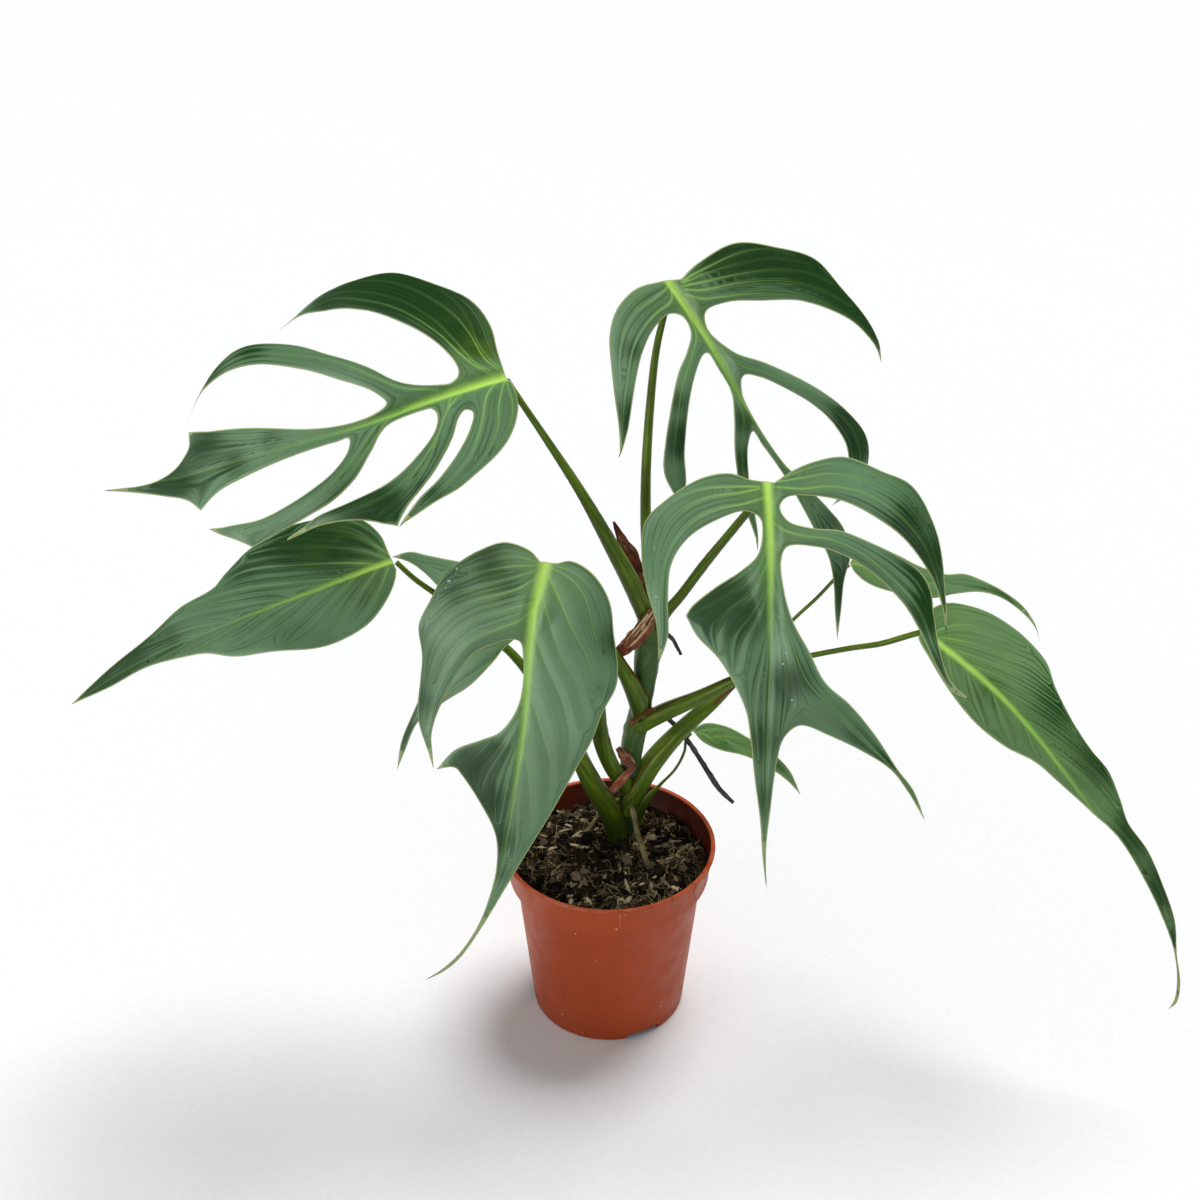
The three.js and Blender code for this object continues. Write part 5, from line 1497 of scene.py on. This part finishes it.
def lump(heap, spot, size, flat, tone, dice, stretch=1.0):
    """One rough crumb"""
    shift = Vector((dice.uniform(0, 90), dice.uniform(0, 90), 0))
    swell = np.array([
        1 + sum(depth * noise.noise(Vector(p) * scale + shift) for scale, depth in LUMP_UNEVENNESS)
        for p in BALL_POINTS
    ])
    turn = dice.uniform(0, math.tau)
    spread = np.array([stretch * dice.uniform(*LUMP_LENGTHS), dice.uniform(*LUMP_WIDTHS), flat])
    shape = BALL_POINTS * swell[:, None] * spread * size
    c, s = math.cos(turn), math.sin(turn)
    shape = shape @ np.array([(c, s, 0), (-s, c, 0), (0, 0, 1)])
    heap.add(shape + spot, BALL_FACES, tone)


FIBRE_CURVE_STEP = 0.6
FIBRE_STEP = 1.2
FIBRE_TAPER = 0.5
FIBRE_LEAN = 1e-4


def fibre(heap, points, radius, tone, sides=4):
    """A thin thread through some points, which tapers to its end"""
    line = even(centripetal(points, FIBRE_CURVE_STEP), FIBRE_STEP)
    ahead = unit(np.gradient(line, axis=0))
    across = unit(np.cross(ahead, UP) + FIBRE_LEAN)
    taper = 1 - FIBRE_TAPER * np.linspace(0, 1, len(line))[:, None]
    shape, faces = tube(line, across, np.cross(ahead, across), radius * taper, sides)
    heap.add(shape, faces, tone)


def scatter(dice, reach):
    """A random place within a distance of the middle"""
    turn, out = dice.uniform(0, math.tau), reach * math.sqrt(dice.random())
    return out * math.cos(turn), out * math.sin(turn)


def thread(heap, x, y, dice, length, radius, tone):
    """One bent fibre on the soil, if it stays inside the pot"""
    turn, bend = dice.uniform(0, math.tau), dice.uniform(-THREAD_BEND, THREAD_BEND)
    parts = THREAD_POINTS - 1
    path = []
    for _ in range(THREAD_POINTS):
        path.append((x, y, soil_top(x, y) + dice.uniform(*THREAD_HEIGHTS)))
        x += length / parts * math.cos(turn)
        y += length / parts * math.sin(turn)
        turn += bend / parts + dice.uniform(-THREAD_WOBBLE, THREAD_WOBBLE)
    if max(math.hypot(p[0], p[1]) for p in path) < FIBRE_REACH:
        fibre(heap, path, radius, tone)


def litter():
    """Peat crumbs, fibres and bits of bark on the soil"""
    dice = random.Random(11)
    peat, threads, chips = Heap(), Heap(), Heap()
    for _ in range(CRUMB_COUNT):
        x, y = scatter(dice, CRUMB_REACH)
        size = dice.choice(CRUMB_SIZES)
        spot = (x, y, soil_top(x, y) + CRUMB_RISE * size)
        lump(peat, spot, size, dice.uniform(*CRUMB_FLATNESS), dice.random() ** CRUMB_TONE_POWER, dice)
    for _ in range(THREAD_COUNT):
        x, y = scatter(dice, THREAD_REACH)
        length, radius = dice.uniform(*THREAD_LENGTHS), dice.uniform(*THREAD_RADII)
        thread(threads, x, y, dice, length, radius, dice.random() ** THREAD_TONE_POWER)
    for path in RIM_ROOTS:
        fibre(threads, path, RIM_ROOT_RADIUS, 0)
    for x, y, spread, count, tone in TUFTS:
        for _ in range(count):
            aside, ahead = scatter(dice, spread)
            length, radius = dice.uniform(*TUFT_LENGTHS), dice.uniform(*TUFT_RADII)
            thread(threads, x + aside, y + ahead, dice, length, radius, tone * dice.uniform(0.4, 1))
    for count, reach, rise, sizes, flatness, power, share, stretch in CHIPS:
        for _ in range(count):
            x, y = scatter(dice, reach)
            size, flat = dice.uniform(*sizes), dice.uniform(*flatness)
            spot = (x, y, soil_top(x, y) + rise)
            lump(chips, spot, size, flat, dice.random() ** power * share, dice, stretch)
    return peat, threads, chips


# Pot
def pot_profile():
    """Radius and height from the foot up the outer face, over the rim and down the inner face"""
    top, rim, collar = POT_HEIGHT, POT_RIM_RADIUS, POT_FOOT_RADIUS
    shelf = COLLAR_FOOT + COLLAR_RISE + POT_WALL
    return [
        (0, 0.6), (POT_BASE_RADIUS - 5, 0.6), (POT_BASE_RADIUS - 4, 0), (POT_BASE_RADIUS - 1, 0),
        (POT_BASE_RADIUS - 0.3, 0.25), (POT_BASE_RADIUS, 1),
        (POT_WALL_TOP_RADIUS - 0.15, COLLAR_FOOT - 0.8), (POT_WALL_TOP_RADIUS + 0.5, COLLAR_FOOT),
        (collar - 1, COLLAR_FOOT + 0.4), (collar - 0.25, COLLAR_FOOT + 0.9), (collar, COLLAR_FOOT + 1.7),
        (rim - POT_LIP, top - POT_LIP_FOOT), (rim - 1.1, top - 2.4), (rim - 0.2, top - 1.9),
        (rim, top - 1.5), (rim, top - 0.6), (rim - 0.25, top - 0.15), (rim - 0.8, top),
        (rim - 1.9, top), (rim - 2.4, top - 0.3),
        (collar - POT_WALL, shelf + 0.5), (collar - POT_WALL - 0.5, shelf),
        (POT_WALL_TOP_RADIUS - POT_WALL, COLLAR_FOOT + POT_WALL),
        (POT_BASE_RADIUS - POT_WALL, POT_FLOOR), (0, POT_FLOOR),
    ]


def drain_cutters():
    """One block for each notch, standing across the wall's foot"""
    heap = Heap()
    depth, width, height = DRAIN_SIZE
    corners = len(DRAIN_ARCH)
    sides = [(k, (k + 1) % corners, corners + (k + 1) % corners, corners + k) for k in range(corners)]
    ends = [tuple(range(corners))[::-1], tuple(range(corners, 2 * corners))]
    for i in range(DRAIN_COUNT):
        turn = DRAIN_TURN + i * math.tau / DRAIN_COUNT
        out = np.array((math.cos(turn), math.sin(turn), 0))
        aside = np.array((-math.sin(turn), math.cos(turn), 0))
        shape = [
            out * (POT_BASE_RADIUS + end * depth / 2) + aside * a * width / 2
            + UP * (height / 2 * (1 + z) - DRAIN_BELOW)
            for end in (-1, 1)
            for a, z in DRAIN_ARCH
        ]
        heap.add(shape, ends + sides, 0)
    return heap


def pot(material):
    """The turned pot with its drain notches cut"""
    points, faces = revolve(pot_profile(), TURN_STEPS)
    body = make("pot_turned", points, faces, material, node="pot")
    cutters = drain_cutters()
    knife = linked("knife", cutters.points, cutters.faces)
    cut = body.modifiers.new("drains", "BOOLEAN")
    cut.object = knife
    cut.solver = "EXACT"
    bpy.context.view_layer.update()
    done = bpy.data.meshes.new_from_object(body.evaluated_get(bpy.context.evaluated_depsgraph_get()))
    body.modifiers.clear()
    body.data = done
    bpy.data.objects.remove(knife)
    done.polygons.foreach_set("use_smooth", [True] * len(done.polygons))
    done.set_sharp_from_angle(angle=SHARP_EDGE)


def pot_radius(z):
    """Outer radius of the pot at a height"""
    if z < COLLAR_FOOT:
        return POT_BASE_RADIUS + (POT_WALL_TOP_RADIUS - POT_BASE_RADIUS) * z / COLLAR_FOOT
    share = (z - COLLAR_FOOT) / (POT_HEIGHT - COLLAR_FOOT)
    return POT_FOOT_RADIUS + (POT_RIM_RADIUS - POT_LIP - POT_FOOT_RADIUS) * share


def splashes():
    """Dried drops and a drip on the pot's outer face"""
    dice = random.Random(3)
    heap = Heap()
    for turn, z, size in SPLASHES:
        angle, radius = math.radians(turn - 90), pot_radius(z)
        spot = (radius * math.cos(angle), radius * math.sin(angle), z)
        lump(heap, spot, size, 1, dice.uniform(0.6, 1), dice)
    fibre(heap, DRIP, DRIP_RADIUS, DRIP_TONE, sides=6)
    return heap


def specks():
    """Pale dried drops that lie on leaves"""
    dice = random.Random(8)
    heap = Heap()
    for *spot, size in LEAF_SPECKS:
        lump(heap, spot, size, 0.8, dice.uniform(0.4, 1), dice)
    return heap


def dry_margins():
    """Brown edges along the sheaths"""
    heap = Heap()
    for radius, tone, path in DRY_MARGINS:
        fibre(heap, path, radius, tone, sides=6)
    return heap


# The plant
leaf_green = leaf_material()
petiole_green = stalk_material("petiole", *PETIOLE_GREENS)
stem_green = stalk_material("stem", *STEM_GREENS)
dry = {name: dry_material(name, *facts) for name, facts in DRY.items()}
crumbs = {name: crumb_material(name, *colours) for name, colours in CRUMBS.items()}

pot(pot_material())
soil_bed(crumbs["peat"])
peat, threads, chips = litter()
peat.piece("soil_crumbs", crumbs["peat"], "soil", soft=False)
threads.piece("soil_fibres", crumbs["fibre"], "soil")
chips.piece("soil_chips", crumbs["bark"], "soil", soft=False)
splashes().piece("pot_splashes", crumbs["splash"], "soil")
specks().piece("leaf_specks", crumbs["speck"], "leaf")
dry_margins().piece("stalk_dry_margins", crumbs["margin"], "husk")

for name, facts in LEAVES.items():
    blade(Leaf(name), leaf_green)
    way = dict(route=[*PETIOLES[name]["route"], facts["base"]], girth=PETIOLES[name]["girth"])
    stalk("stalk_" + name, way, petiole_green, "petiole_" + name, reach=JOINT_GAP)
stalk("stem_ringed", STEM, stem_green, "stem", upper_side=False, bulges=STEM_BULGES,
      rough=STEM_ROUGHNESS)
for name, way in ROOTS.items():
    material = dry["root_olive" if name in OLIVE_ROOTS else "root_grey"]
    stalk(name + "_rough", way, material, name, upper_side=False, rough=ROOT_ROUGHNESS)
for name, way in HUSKS.items():
    husk(name, way, dry["husk"])
straws(HUSKS["husk_torn"]).piece("husk_torn_straws", crumbs["straw"], "husk")

# Camera, floor and light
CAMERA_PLACE = (-5, -972, 891)
CAMERA_DOWN = 32.5
CAMERA_LENS = 66
SENSOR = 36
FLOOR_REACH = 40000
FLOOR_DROP = 0.2
BACKDROP_RADIUS = 20000
BACKDROP_FOOT = -100
BACKDROP_TOP = 14000
BACKDROP_SIDES = 64
# Lights: place and aim in metres, and power; sizes of the wide ones
SUN = dict(place=(0.55, 0.7, 2.3), aim=(0, 0, 0.2), power=2.82)
SUN_SPREAD = math.radians(30)
WINDOW = dict(place=(-1.8, -2.1, 0.8), aim=(0, 0, 0.25), power=96)
WINDOW_SIZE = (2.8, 1.6)
CANOPY = dict(place=(-1.7, -1.4, 1.9), aim=(0, 0, 0.3), power=66)
CANOPY_SIZE = (2.8, 2.0)
# The side of the room that the pale light comes from, as a direction, and how the room darkens away from it
BRIGHT_SIDE = (-0.6, -0.58, 0.55)
ROOM_LEVELS = {"From Min": -0.2, "From Max": 0.9, "To Min": 0.1, "To Max": 0.54}

camera_data = bpy.data.cameras.new("camera")
camera_data.lens = CAMERA_LENS
camera_data.sensor_width = SENSOR
camera = bpy.data.objects.new("camera", camera_data)
camera.location = [c * METRES for c in CAMERA_PLACE]
camera.rotation_euler = (math.radians(90 - CAMERA_DOWN), 0, 0)
bpy.context.scene.collection.objects.link(camera)
bpy.context.scene.camera = camera

corners = [(x * FLOOR_REACH, y * FLOOR_REACH, 0) for x, y in ((-1, -1), (1, -1), (1, 1), (-1, 1))]
floor = linked("floor", corners, [(0, 1, 2, 3)])
floor.data.materials.append(floor_material())
floor.location.z = -FLOOR_DROP * METRES


def backdrop():
    """A plain white drum round the object that only the camera sees, so low views have no horizon"""
    sides, radius = BACKDROP_SIDES, BACKDROP_RADIUS
    rims = [(radius * math.cos(turn), radius * math.sin(turn), z)
            for z in (BACKDROP_FOOT, BACKDROP_TOP) for turn in turns(sides)]
    walls = [(i, (i + 1) % sides, sides + (i + 1) % sides, sides + i) for i in range(sides)]
    drum = linked("backdrop", rims, [*walls, range(sides, 2 * sides)])
    drum.data.materials.append(backdrop_material())
    drum.visible_diffuse = False
    drum.visible_glossy = False
    drum.visible_transmission = False
    drum.visible_shadow = False


backdrop()


def lamp(name, kind, place, aim, power):
    """A light that looks from its place to a point"""
    light = bpy.data.lights.new(name, kind)
    light.energy = power
    made = bpy.data.objects.new(name, light)
    made.location = place
    made.rotation_mode = "QUATERNION"
    made.rotation_quaternion = (Vector(aim) - Vector(place)).to_track_quat("-Z", "Y")
    bpy.context.scene.collection.objects.link(made)
    return made


def sheen(name, size, facts):
    """A wide light that only shows as gloss on the leaves"""
    made = lamp(name, "AREA", **facts)
    made.data.shape = "RECTANGLE"
    made.data.size, made.data.size_y = size
    made.visible_diffuse = False


sun = lamp("key", "SUN", **SUN)
sun.data.angle = SUN_SPREAD
sun.visible_glossy = False
sheen("window", WINDOW_SIZE, WINDOW)
sheen("canopy", CANOPY_SIZE, CANOPY)

world = bpy.data.worlds.new("studio")
world.use_nodes = True
sky = world.node_tree
around = sky.nodes.new("ShaderNodeTexCoord")
towards = sky.nodes.new("ShaderNodeVectorMath")
towards.operation = "DOT_PRODUCT"
towards.inputs[1].default_value = BRIGHT_SIDE
level = sky.nodes.new("ShaderNodeMapRange")
level.interpolation_type = "SMOOTHSTEP"
for socket, value in ROOM_LEVELS.items():
    level.inputs[socket].default_value = value
sky.links.new(around.outputs["Generated"], towards.inputs[0])
sky.links.new(towards.outputs["Value"], level.inputs["Value"])
sky.links.new(level.outputs["Result"], sky.nodes["Background"].inputs["Strength"])
sky.nodes["Background"].inputs["Color"].default_value = (1, 1, 1, 1)
bpy.context.scene.world = world
bpy.context.scene.view_settings.view_transform = "Standard"
